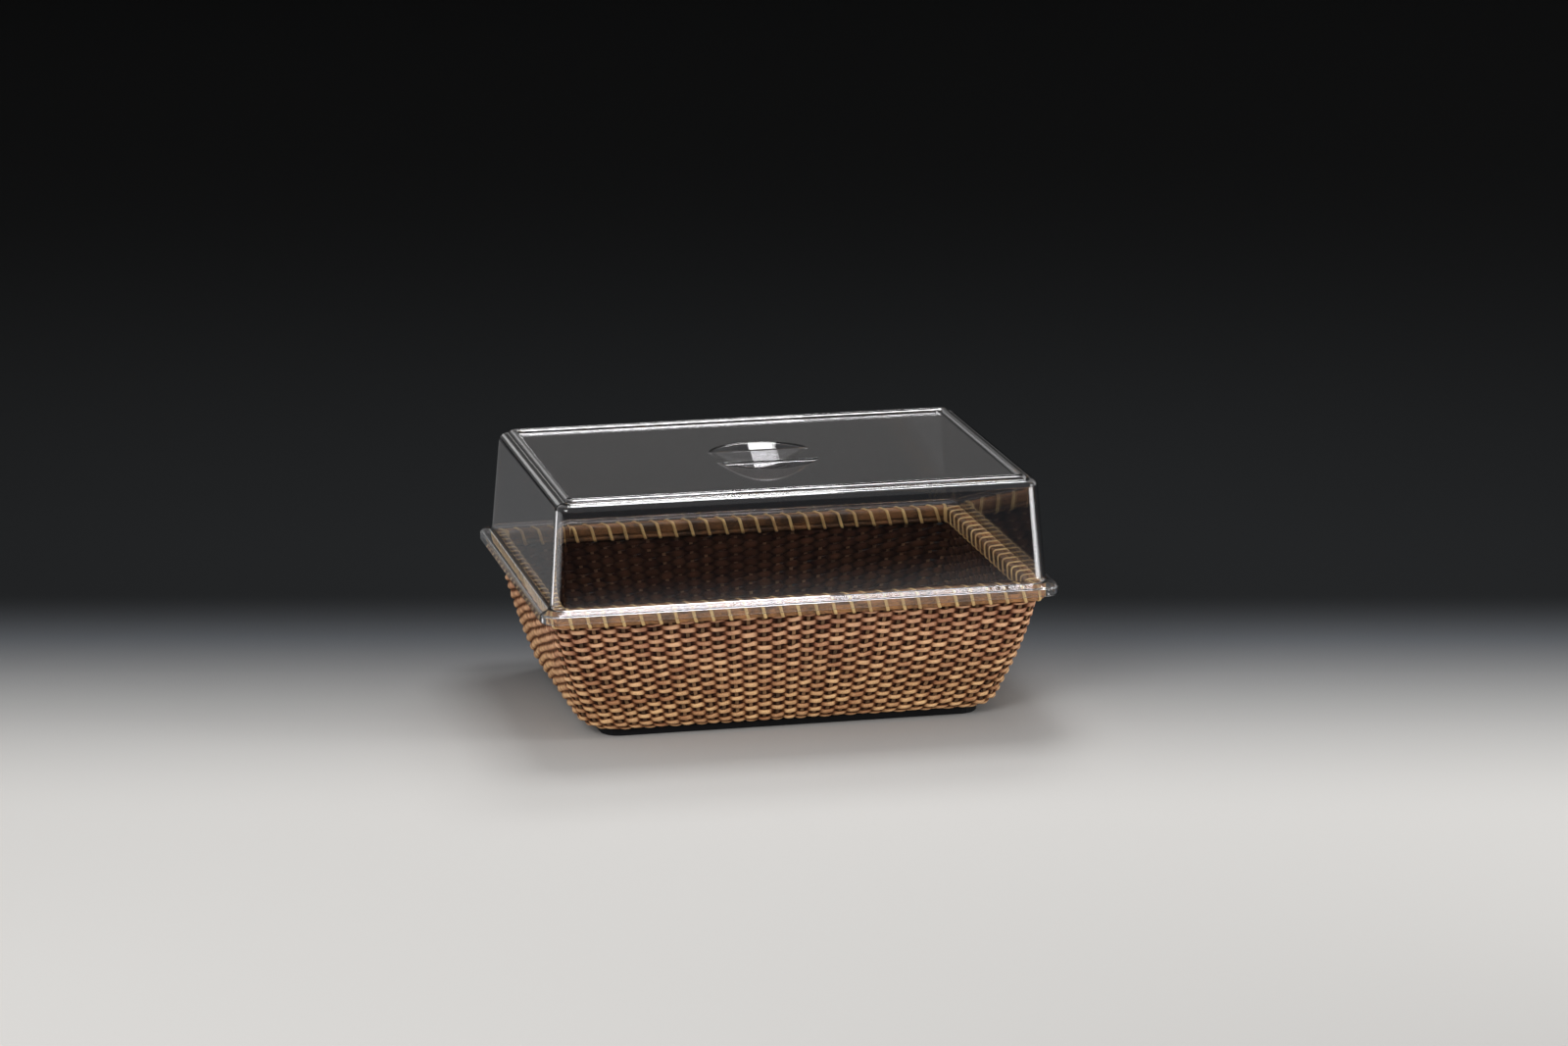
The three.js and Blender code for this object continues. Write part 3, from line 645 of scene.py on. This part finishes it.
def oval(points, wide, tall, half_width, half_thickness, sides):
    """Rings of a flattened oval round points, and how far each vertex stands out."""
    angles = 2 * np.pi * (np.arange(sides) + 0.5) / sides
    flat = flattened(np.cos(angles), 0.75)
    stand = flattened(np.sin(angles), 0.75)
    across = flat[None, :, None] * wide[:, None, :] * np.reshape(half_width, (-1, 1, 1))
    through = stand[None, :, None] * tall[:, None, :] * half_thickness
    return points[:, None, :] + across + through, stand


def weave_tubes(surface, sizes):
    """The woven rows of the wall: each passes outside and inside the stakes in turn."""
    rng = np.random.RandomState(11)
    count = sizes.stake_count
    run = surface.foot_run + surface.wall_run
    rows = round(run / sizes.row_pitch)
    thick = sizes.strand_thickness / 2
    swing = WEAVE_THICKNESS / 2 - thick
    steps = np.arange(count * STRAND_STEPS)
    share = steps / len(steps)
    stake = steps // STRAND_STEPS
    tubes = []
    for row in range(-ROWS_UNDER_FOOT, rows + 1):
        last = row == rows
        up = surface.row_place((row + (0.33 if last else 0.5)) * run / rows)
        here, outward, upward = surface.frames(share, up)
        phase = np.pi * (stray_share(share) * count - 0.5 + row)
        wave = flattened(np.cos(phase), STRAND_CREST)
        loose = rng.normal(0, 1, count)[stake]
        loose = np.convolve(np.concatenate([loose[-3:], loose, loose[:3]]), np.ones(7) / 7,
                            'valid')
        slope = np.maximum(rng.normal(1, SLOPE_SPREAD, count)[stake], LEAST_SLOPE)
        climb = (ROW_SLOPE * slope * np.sin(phase) * np.abs(wave) - CREST_DROP * wave
                 + ROW_STRAY * loose + ripple(share, 5, 0.0005, 0.31 * row)
                 + ripple(share, 13, 0.0003, -0.45 * row))
        centre = here + outward * (swing * wave)[:, None] + upward * climb[:, None]
        slant = 0.1 * np.sin(phase) * np.maximum(wave, 0)
        width = sizes.strand_width / 2 * (1.12 - 0.30 * wave + slant + 0.06 * loose)
        if last:
            width *= TOP_ROW_WIDTH
        rings, stand = oval(centre, upward, outward, width, thick, 8)
        # How far out each vertex stands, which picks its painted shade in the strand material
        marks = (wave[:, None] * swing + stand[None, :] * thick) / (WEAVE_THICKNESS / 2)
        tubes.append((rings, marks))
    return tubes


def stake_tubes(surface, sizes):
    """Upright stakes from the floor's edge to the rim's channel."""
    even = (np.arange(sizes.stake_count) + 0.5) / sizes.stake_count
    frames = [surface.frames(2 * even - stray_share(even), up)
              for up in np.linspace(0.0, surface.length, STAKE_RINGS)]
    points, outward, upward = (np.stack(part, axis=1) for part in zip(*frames, frames[-1]))
    points[:, -1, 2] = STAKE_TOP
    across = np.cross(upward, outward)
    half = sizes.stake_width / 2
    tubes = [oval(*stake, half, STAKE_HALF, 6)[0] for stake in zip(points, across, outward)]
    return [(rings, np.zeros(rings.shape[:2])) for rings in tubes]


def floor_tube(points, wide, half_width, half_thickness):
    """One flat strand of the floor, marked to take the dark brown of the weave's inside face."""
    count = len(points)
    tall = np.tile((0.0, 0.0, 1.0), (count, 1))
    rings = oval(np.array(points), np.tile(wide, (count, 1)), tall, half_width,
                 half_thickness, 6)[0]
    return rings, np.full(rings.shape[:2], FLOOR_MARK)


def floor_tubes(sizes):
    """Rows and stakes of the woven floor, inside its rounded outline."""
    edge = FLOOR_Y - FLOOR_STRAND / 2
    rows = int(2 * edge / sizes.row_pitch)
    strands = []
    for row in range(rows + 1):
        y = -edge + 2 * edge * row / rows
        back = max(abs(y) - (FLOOR_Y - FLOOR_CORNER), 0)
        reach = FLOOR_X - FLOOR_CORNER + math.sqrt(max(FLOOR_CORNER ** 2 - back ** 2, 0))
        x = np.linspace(-reach, reach, int(12 * FLOOR_X / FLOOR_PITCH))
        wave = flattened(np.cos(np.pi * (x / FLOOR_PITCH + row)), 0.72)
        points = np.stack([x, np.full_like(x, y), FLOOR_MIDDLE + FLOOR_SWING * wave], axis=1)
        strands.append(floor_tube(points, (0.0, 1.0, 0.0), FLOOR_STRAND / 2, FLOOR_STRAND_HALF))
    stakes = []
    for number in range(-FLOOR_STAKES_ASIDE, FLOOR_STAKES_ASIDE + 1):
        points = [(FLOOR_PITCH * number, y, FLOOR_MIDDLE)
                  for y in (-FLOOR_STAKE_END, 0.0, FLOOR_STAKE_END)]
        stakes.append(floor_tube(points, (1.0, 0.0, 0.0), FLOOR_STAKE / 2, FLOOR_STAKE_HALF))
    return strands, stakes


class BASKET_OT_board(bpy.types.Operator):
    """Finish the base board and its tacks"""
    bl_idname = "basket.board"
    bl_label = "Board and tacks"

    def execute(self, context):
        board = board_material(context.scene.basket_colours.board)
        steel = steel_material()
        for name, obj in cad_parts.items():
            if name == "base_board":
                obj.material_slots[0].material = board
            elif name.startswith("base_tack"):
                obj.material_slots[0].material = steel
        return {'FINISHED'}


class BASKET_OT_weave(bpy.types.Operator):
    """Weave the wall and the floor: rows of rattan over upright stakes"""
    bl_idname = "basket.weave"
    bl_label = "Woven wall and floor"

    def execute(self, context):
        sizes = context.scene.basket_sizes
        colours = context.scene.basket_colours
        surface = WeaveSurface()
        # The strands carry painted shade, picked by how far out each part of them stands
        strand = rattan_material("Woven strand", colours.strand_pale, colours.strand,
                                 painted_weave_shades(colours.inside_dark), high_tint=(0.92, 0.86, 1.02),
                                 fibre=0.9, specular=0.25, relief=0.0003)
        stake = rattan_material("Stake", (0.30, 0.165, 0.080), (0.075, 0.040, 0.020),
                                roughness=0.7, specular=0.3)
        rows = weave_tubes(surface, sizes)
        half = len(rows) // 2
        floor_rows, floor_stakes = floor_tubes(sizes)
        for name, tubes, closed, material, slot, node in (
                ("wall_rows_low", rows[:half], True, strand, "weave", "woven_wall"),
                ("wall_rows_high", rows[half:], True, strand, "weave", "woven_wall"),
                ("wall_stakes", stake_tubes(surface, sizes), False, stake, "weave", "woven_wall"),
                ("floor_rows", floor_rows, False, strand, "weave_dark", "woven_floor"),
                ("floor_stakes", floor_stakes, False, stake, "weave_dark", "woven_floor")):
            finish_piece(tube_mesh(name, tubes, closed), material, "basket", node)
        return {'FINISHED'}


def side_sizes(index):
    """Half the straight run of a side, the rim's size across it, and the side's turn."""
    length, depth = (RIM_WIDTH, RIM_LENGTH) if index % 2 else (RIM_LENGTH, RIM_WIDTH)
    return length / 2 - RIM_CORNER, depth, math.radians(90 * index)


def strip_section(x, depth, near, far, low, high, near_round, far_round):
    """Adds one rounded section of a front strip, as a face across it at x."""
    middle = (x, (near + far) / 2 - depth / 2, (low + high) / 2)
    bpy.ops.mesh.select_all(action='DESELECT')
    bpy.ops.mesh.primitive_plane_add(size=1, location=middle, rotation=(0, math.pi / 2, 0))
    bpy.ops.transform.resize(value=(1, far - near, high - low), center_override=middle)

    def is_corner(co):
        return (abs(co.x - x) < 1e-5 and abs(abs(co.y - middle[1]) - (far - near) / 2) < 1e-6
                and abs(abs(co.z - middle[2]) - (high - low) / 2) < 1e-6)

    for nearer, radius in ((True, near_round), (False, far_round)):
        select_where(lambda co: is_corner(co) and (co.y < middle[1]) == nearer, 'VERT')
        bpy.ops.mesh.bevel(affect='VERTICES', offset=radius, segments=4, offset_type='OFFSET')


def add_strip(half_run, depth, *section):
    """Adds one closed strip, straight along the side and bent half way round each corner."""
    strip_section(-half_run, depth, *section)
    low, high = section[2:4]

    def select_ring():
        select_where(lambda co: abs(co.x + half_run) < 1e-6 and low - 1e-6 < co.z < high + 1e-6,
                     'EDGE')

    select_ring()
    bpy.ops.mesh.delete(type='ONLY_FACE')
    for end in (-1, 1):
        select_ring()
        if end > 0:
            bpy.ops.mesh.extrude_edges_move(
                TRANSFORM_OT_translate={"value": (2 * half_run, 0, 0)})
        bpy.ops.mesh.spin(steps=6, angle=-end * (math.radians(45) - MITRE_GAP / RIM_CORNER),
                          center=(end * half_run, RIM_CORNER - depth / 2, 0), axis=(0, 0, 1))
        bpy.ops.mesh.edge_face_add()


def lay_strip_uv(obj, half_run, depth):
    """UV map along the strip in metres and up its section."""
    centre_y = RIM_CORNER - depth / 2
    layer = obj.data.uv_layers.new(name="strand")
    for loop in obj.data.loops:
        co = obj.data.vertices[loop.vertex_index].co
        over = max(abs(co.x) - half_run, 0.0)
        bend = math.atan2(over, max(centre_y - co.y, 1e-6))
        along = math.copysign(min(abs(co.x), half_run) + bend * RIM_CORNER, co.x)
        layer.data[loop.index].uv = (along, (co.z + 0.7 * co.y) * 120)


def strip_material(name, colour, light, dark):
    return rattan_material(name, scaled(colour, light), scaled(colour, dark), fibre=1.6,
                           length=26.0, roughness=0.5, coat=0.15, relief=0.0003)


class BASKET_OT_rim(bpy.types.Operator):
    """Lay the rim's rattan strips, outside, inside and on top of the stakes"""
    bl_idname = "basket.rim"
    bl_label = "Rim strips"

    def execute(self, context):
        colour = context.scene.basket_colours.strip
        strip = strip_material("Rim strip", colour, 1.65, 0.38)
        # Painted shade: the inner strips take a darker copy of the strip colour than the outer
        # ones
        shaded = strip_material("Inner rim strip in painted shade", colour, 1.0, 0.22)
        for index, side in enumerate(SIDES):
            half_run, depth, turn = side_sizes(index)
            for row, sections in STRIPS.items():
                obj = fresh_mesh(f"rim_{row}_strip_{side}")
                for section in sections:
                    add_strip(half_run, depth, *section)
                close_mesh(obj, angle=40)
                lay_strip_uv(obj, half_run, depth)
                bpy.ops.transform.rotate(value=-turn, orient_axis='Z', center_override=(0, 0, 0))
                bpy.ops.object.transform_apply(location=True, rotation=True, scale=True)
                material = shaded if row == "inner" else strip
                finish_piece(obj, material, "basket", f"rim_{row}_{side}")
        return {'FINISHED'}


def lashing_path(depth):
    """Rounded path round the rim's section, as (inset, height) from under the channel."""
    near, far = depth, RIM_BUILD - depth
    low, high = STRIP_BOTTOM - LASHING_BUILD + depth, STRIP_TOP + LASHING_BUILD - depth
    radius = LASHING_ROUND - depth
    points = [(STAKE_LINE, low)]
    corners = ((far - radius, low + radius, -90), (far - radius, high - radius, 0),
               (near + radius, high - radius, 90), (near + radius, low + radius, 180))
    for x, z, turn in corners:
        for step in range(5):
            angle = math.radians(turn + 90 * step / 4)
            points.append((x + radius * math.cos(angle), z + radius * math.sin(angle)))
    return np.array(points)


def wound_cane(half_run, depth, turn, sizes, rng):
    """The cane of one side as a tube, wound round the rim from corner to corner."""
    middle = lashing_path(CANE_HALF)
    normals = unit(lashing_path(0.0) - lashing_path(2 * CANE_HALF))
    around = np.linalg.norm(np.diff(np.vstack([middle, middle[:1]]), axis=0), axis=1)
    travelled = np.concatenate([[0], np.cumsum(around)]) / around.sum()
    reach = half_run + RIM_CORNER * math.radians(40)
    loops = round(2 * reach / sizes.lashing_pitch)
    stray = rng.normal(0, LASHING_STRAY, loops + 2)
    loop, step = np.divmod(np.arange(loops * len(middle) + 1), len(middle))
    turns = loop + travelled[step]
    along = 2 * reach * (turns / loops - 0.5) + np.interp(turns, np.arange(loops + 2), stray)
    bend = np.copysign(np.maximum(np.abs(along) - half_run, 0.0) / RIM_CORNER, along)
    level = np.zeros_like(bend)
    outward = np.stack([np.sin(bend), -np.cos(bend), level], axis=1)
    onward = np.stack([np.cos(bend), np.sin(bend), level], axis=1)
    centre = outward * (RIM_CORNER - middle[step, :1])
    centre += np.stack([np.clip(along, -half_run, half_run), level + RIM_CORNER - depth / 2,
                        middle[step, 1]], axis=1)
    normal = -outward * normals[step, :1]
    normal[:, 2] = normals[step, 1]
    half = sizes.cane_width / 2
    rings = np.stack([centre + onward * half * aside + normal * above
                      for aside, above in CANE_SECTION], axis=1)
    cos, sin = math.cos(turn), math.sin(turn)
    rings = rings @ np.array([(cos, sin, 0.0), (-sin, cos, 0.0), (0.0, 0.0, 1.0)])
    return rings, np.ones(rings.shape[:2])


class BASKET_OT_lashing(bpy.types.Operator):
    """Wind the cane round the rim, one length on each side"""
    bl_idname = "basket.lashing"
    bl_label = "Cane lashing"

    def execute(self, context):
        colour = context.scene.basket_colours.cane
        cane = rattan_material("Lashing cane", [min(1.15 * c, 0.95) for c in colour],
                               scaled(colour, 0.68), fibre=0.9, length=60.0, roughness=0.36,
                               coat=0.22, relief=0.00012)
        for index, side in enumerate(SIDES):
            tube = wound_cane(*side_sizes(index), context.scene.basket_sizes,
                              np.random.RandomState(20 + index))
            obj = tube_mesh(f"rim_lashing_cane_{side}", [tube], False)
            finish_piece(obj, cane, "basket", f"rim_lashing_{side}")
        return {'FINISHED'}


def fillet(before, corner, after, radius, steps=5):
    """Points of a rounded corner, kept inside its two edges."""
    corner = Vector(corner)
    first = Vector(before) - corner
    second = Vector(after) - corner
    radius = min(radius, 0.45 * first.length, 0.45 * second.length)
    start = corner + first.normalized() * radius
    end = corner + second.normalized() * radius
    shares = [step / steps for step in range(steps + 1)]
    return [start * (1 - t) ** 2 + corner * 2 * t * (1 - t) + end * t * t for t in shares]


def wall_points(foot, top):
    """Points half way up the cover's leaning wall and just below its top."""
    return [tuple(a + (b - a) * share for a, b in zip(foot, top)) for share in (0.5, 0.99)]


def shoulder_points(start, across, up, steps):
    """Quarter ellipse of (inset, height) that leaves its start upright."""
    angles = [math.pi / 2 * step / steps for step in range(steps + 1)]
    return [(start[0] + across * (1 - math.cos(a)), start[1] + up * math.sin(a)) for a in angles]


def bead_points(inset, width, foot):
    """The raised bead in section, and the border of the plate beyond it."""
    points = [(inset + width * i / BEAD_STEPS,
               foot + BEAD_HEIGHT * math.sin(math.pi * i / BEAD_STEPS) ** 0.9)
              for i in range(BEAD_STEPS + 1)]
    return points + [(inset + width + PLATE_BORDER, foot)]


def outer_profile():
    """Outer face from the skirt's lower edge to the plate, as (inset, height, corner radius)."""
    edge, wall_foot = (0.0, FLANGE_EDGE), (WALL_FOOT_INSET, FLANGE_TOP)
    wall_top = (WALL_TOP_INSET, SHOULDER_BOTTOM)
    points = [(SKIRT_EDGE, SKIRT_BOTTOM), (0.0, SKIRT_BOTTOM + SKIRT_EDGE)]
    points += fillet((0.0, SKIRT_BOTTOM), edge, wall_foot, 0.0016)
    points += fillet(edge, wall_foot, wall_top, 0.0028, 8)
    points += wall_points(wall_foot, wall_top)
    points += shoulder_points(wall_top, SHOULDER_WIDTH, SHOULDER_HEIGHT, 10)
    points += bead_points(WALL_TOP_INSET + SHOULDER_WIDTH, BEAD_WIDTH, PLATE_TOP)[1:]

    def radius(inset):
        if inset <= WALL_FOOT_INSET:
            return float(np.interp(inset, (0, 0.006, WALL_FOOT_INSET),
                                   (0.015, 0.0159, OUTER_CORNER)))
        return OUTER_CORNER - min(max(inset - WALL_TOP_INSET, 0), SHOULDER_WIDTH)

    return [(inset, z, radius(inset)) for inset, z in points]


def inner_profile():
    """Inner face from the plate's underside down to the skirt's lower edge."""
    foot = WALL_FOOT_INSET + COVER_WALL
    top = WALL_TOP_INSET + COVER_WALL
    across = SHOULDER_WIDTH - COVER_WALL
    under = FLANGE_TOP - COVER_WALL
    edge, rest = (COVER_WALL, FLANGE_EDGE - 0.0021), (FLANGE_REST, under)
    wall_foot, wall_top = (foot, under), (top, SHOULDER_BOTTOM)
    points = [(COVER_WALL - SKIRT_EDGE, SKIRT_BOTTOM), (COVER_WALL, SKIRT_BOTTOM + SKIRT_EDGE)]
    points += fillet((COVER_WALL, SKIRT_BOTTOM), edge, rest, 0.0008)
    points += fillet(edge, rest, wall_foot, 0.0008)
    points += fillet(rest, wall_foot, wall_top, 0.0009)
    points += wall_points(wall_foot, wall_top)
    points += shoulder_points(wall_top, across, SHOULDER_HEIGHT - COVER_WALL, 8)
    points += bead_points(top + across + COVER_WALL / 2, BEAD_WIDTH - COVER_WALL,
                          PLATE_TOP - COVER_WALL)

    def radius(inset):
        if inset <= foot:
            return float(np.interp(inset, (COVER_WALL, foot), (OUTER_CORNER, INNER_CORNER)))
        return INNER_CORNER - min(max(inset - top, 0), across)

    return [(inset, z, radius(inset)) for inset, z in reversed(points)]


def reshape_ring(old, new):
    """Moves the selected ring of corner arcs from one (inset, height, radius) to another."""
    for vert in edit_mesh().verts:
        if not vert.select:
            continue
        for axis, half in ((0, COVER_X), (1, COVER_Y)):
            sign = math.copysign(1.0, vert.co[axis])
            offset = (abs(vert.co[axis]) - (half - old[0] - old[2])) / old[2]
            vert.co[axis] = sign * ((half - new[0] - new[2]) + offset * new[2])
        vert.co.z = new[1]
    show_edit()


def well_profile(x, chord, reach, depth, web, drop, edge, root):
    """Profile across a finger well at one x, as (distance from the bridge's middle, height).

    The whole well would open at a level drop above the plate. Only what lies under the plate
    is made, with its edges and its root rounded.
    """
    arc = (chord ** 2 + reach ** 2) / (2 * reach)
    span = math.sqrt(max(arc ** 2 - x ** 2, 0)) - (arc - reach)
    fall = depth * (1 - (x / chord) ** 2)
    if fall <= drop + 1e-5 or span <= 1e-5:
        fall, span = 1e-5, 1e-5
    else:
        span *= (fall - drop) / fall
        fall -= drop
    near, bottom, far = (web, 0.0), (web, -fall), (web + span, 0.0)
    start, end = Vector((web - WELL_LIP, 0.0)), Vector((web + span + WELL_LIP, 0.0))
    return [start, *fillet(start, near, bottom, edge), *fillet(near, bottom, far, root),
            *fillet(bottom, far, end, edge), end]


def add_well(side, plane, chord, *shape):
    """Adds one finger well as a grid whose border lies in the plate."""
    bpy.ops.mesh.select_all(action='DESELECT')
    bpy.ops.mesh.primitive_grid_add(x_subdivisions=WELL_COLUMNS - 1,
                                    y_subdivisions=WELL_ROWS - 1,
                                    size=2, location=(0, 0, plane))
    for vert in edit_mesh().verts:
        if not vert.select:
            continue
        column = round((vert.co.x + 1) / 2 * (WELL_COLUMNS - 1))
        row = round((vert.co.y + 1) / 2 * (WELL_ROWS - 1))
        x = -math.cos(math.pi * (column / (WELL_COLUMNS - 1))) * (chord + WELL_LIP)
        across = well_profile(x, chord, *shape)[row]
        vert.co = (x * side, across.x * side, plane + across.y)
    show_edit()


def fill_plate(inset, plane, *well):
    """Closes the plate between its border ring and the borders of the two wells."""
    for side in (1, -1):
        add_well(side, plane, *well)
    bpy.ops.mesh.select_mode(type='EDGE')
    bpy.ops.mesh.select_all(action='DESELECT')

    def in_plate(co):
        return (abs(co.z - plane) < 5e-5 and abs(co.x) < COVER_X - inset + 1e-5
                and abs(co.y) < COVER_Y - inset + 1e-5)

    for edge in edit_mesh().edges:
        edge.select = edge.is_boundary and all(in_plate(v.co) for v in edge.verts)
    show_edit()
    bpy.ops.mesh.fill(use_beauty=True)


class BASKET_OT_cover(bpy.types.Operator):
    """Mould the clear cover: skirt, flange, walls, bead and finger wells"""
    bl_idname = "basket.cover"
    bl_label = "Clear cover"

    def execute(self, context):
        profile = inner_profile() + outer_profile()
        obj = fresh_mesh("clear_cover")
        inset, z, radius = profile[0]
        bpy.ops.mesh.primitive_plane_add(size=2, location=(0, 0, z))
        bpy.ops.transform.resize(value=(COVER_X - inset, COVER_Y - inset, 1),
                                 center_override=(0, 0, z))
        bpy.ops.mesh.bevel(affect='VERTICES', offset=radius, offset_type='OFFSET',
                           segments=context.scene.basket_sizes.corner_steps)
        bpy.ops.mesh.delete(type='ONLY_FACE')
        bpy.ops.mesh.select_mode(type='EDGE')
        bpy.ops.mesh.select_all(action='SELECT')
        for old, new in zip(profile, profile[1:]):
            bpy.ops.mesh.extrude_edges_move(TRANSFORM_OT_translate={"value": (0, 0, 0)})
            reshape_ring(old, new)
        fill_plate(profile[-1][0], PLATE_TOP, WELL_HALF, WELL_REACH, WELL_DEPTH, WELL_WEB,
                   0.0, *WELL_ROUNDS)
        slope = math.atan2(WELL_DEPTH, WELL_REACH)
        buried = COVER_WALL / 2
        shift = COVER_WALL / math.sin(slope) - buried / math.tan(slope)
        reach = COVER_WALL + WELL_REACH + shift
        fill_plate(profile[0][0], PLATE_TOP - COVER_WALL, INNER_WELL_HALF, reach,
                   reach * math.tan(slope), WELL_WEB - COVER_WALL, buried, *INNER_WELL_ROUNDS)
        close_mesh(obj, angle=50)
        clear = clear_material(context.scene.basket_colours.clear)
        finish_piece(obj, clear, "cover", "cover_shell")
        return {'FINISHED'}


def sweep_material(colours):
    """Pale floor round the basket with painted light falloff: it fades to the backdrop's grey on
    all sides, and grows paler again up the sweep's wall.
    """
    material, tree, shader = new_material("Sweep with painted falloff")
    place = object_place(tree)
    x, _, z = split_axes(tree, place)
    aside = add_node(tree, 'ShaderNodeMath', {0: x}, operation='ABSOLUTE').outputs[0]
    onward = (math.sin(CAMERA_TURN), math.cos(CAMERA_TURN), 0.0)
    ahead = add_node(tree, 'ShaderNodeVectorMath', {0: place, 1: onward},
                     operation='DOT_PRODUCT').outputs['Value']
    # Painted light falloff: a pale pool round the basket that darkens away from it, soonest
    # straight ahead of the camera
    painted_falloff = 0.0
    for operation, source, *limits in (
            ('MAXIMUM', ahead, -0.40, 0.35, 0.0, 0.9), ('MAXIMUM', ahead, -1.0, -1.45, 0.0, 0.9),
            ('MAXIMUM', aside, 1.0, 2.2, 0.0, 0.9), ('ADD', ahead, 0.5, 3.0, 0.0, 0.1),
            ('MULTIPLY', z, 0.1, 1.4, 1.0, 0.25)):
        painted_falloff = maths(tree, operation, painted_falloff, map_range(tree, source, *limits, 'SMOOTHSTEP'))
    stops = [(0.0, colours.ground), (0.77, (0.098, 0.104, 0.114)), (0.9, colours.backdrop),
             (1.0, scaled(colours.backdrop, 0.3))]
    set_inputs(tree, shader, {'Base Color': ramp(tree, painted_falloff, stops), 'Roughness': 0.75,
                              'Specular IOR Level': 0.06})
    return material


class BASKET_OT_stage(bpy.types.Operator):
    """Set the sweep with its painted light falloff, the soft lights, the world and the camera"""
    bl_idname = "basket.stage"
    bl_label = "Stage"

    def execute(self, context):
        scene = context.scene
        sweep = fresh_mesh("sweep")
        bpy.ops.mesh.primitive_plane_add(size=14, location=(0, 0, 0))
        select_where(lambda co: co.y > 6.9, 'EDGE')
        bpy.ops.mesh.extrude_edges_move(TRANSFORM_OT_translate={"value": (0, 0, 6)})
        select_where(lambda co: co.y > 6.9 and co.z < 0.1, 'EDGE')
        bpy.ops.mesh.bevel(affect='EDGES', offset=2.5, segments=24)
        bpy.ops.object.mode_set(mode='OBJECT')
        bpy.ops.object.shade_smooth()
        sweep.data.materials.append(sweep_material(scene.basket_colours))
        for name, place, aim, size, power in LAMPS:
            bpy.ops.object.light_add(type='AREA', location=place)
            lamp = context.object
            lamp.name = name
            lamp.data.shape = 'RECTANGLE'
            lamp.data.size, lamp.data.size_y = size
            lamp.data.energy = power
            direction = Vector(aim) - Vector(place)
            lamp.rotation_euler = direction.to_track_quat('-Z', 'Y').to_euler()
            lamp.visible_camera = False
            if name.endswith("_card"):
                lamp.data.spread = CARD_SPREAD
        world = bpy.data.worlds.new("Studio")
        world.use_nodes = True
        set_inputs(world.node_tree, world.node_tree.nodes["Background"],
                   {'Color': (1, 1, 1, 1), 'Strength': WORLD_STRENGTH})
        scene.world = world
        bpy.ops.object.camera_add(location=CAMERA_PLACE, rotation=(CAMERA_TILT, 0, -CAMERA_TURN))
        camera = context.object
        camera.data.lens = 118.07
        camera.data.sensor_width = 36
        camera.data.clip_end = 60
        scene.camera = camera
        scene.view_settings.view_transform = 'Standard'
        return {'FINISHED'}


class BASKET_PT_panel(bpy.types.Panel):
    """Sizes, colours and steps of the basket"""
    bl_idname = "BASKET_PT_panel"
    bl_label = "Domed serving basket"
    bl_space_type = 'VIEW_3D'
    bl_region_type = 'UI'
    bl_category = "Basket"

    def draw(self, context):
        layout = self.layout
        for group in (context.scene.basket_sizes, context.scene.basket_colours):
            column = layout.column(align=True)
            for key in group.__annotations__:
                column.prop(group, key)
        for step in STEPS:
            layout.operator(step.bl_idname)


STEPS = (BASKET_OT_board, BASKET_OT_weave, BASKET_OT_rim, BASKET_OT_lashing, BASKET_OT_cover,
         BASKET_OT_stage)
CLASSES = (BasketSizes, BasketColours) + STEPS + (BASKET_PT_panel,)


def register():
    for cls in CLASSES:
        bpy.utils.register_class(cls)
    bpy.types.Scene.basket_sizes = PointerProperty(type=BasketSizes)
    bpy.types.Scene.basket_colours = PointerProperty(type=BasketColours)


def unregister():
    del bpy.types.Scene.basket_colours
    del bpy.types.Scene.basket_sizes
    for cls in reversed(CLASSES):
        bpy.utils.unregister_class(cls)


def main():
    register()
    bpy.ops.basket.board()
    bpy.ops.basket.weave()
    bpy.ops.basket.rim()
    bpy.ops.basket.lashing()
    bpy.ops.basket.cover()
    bpy.ops.basket.stage()


if __name__ == "__main__":
    main()
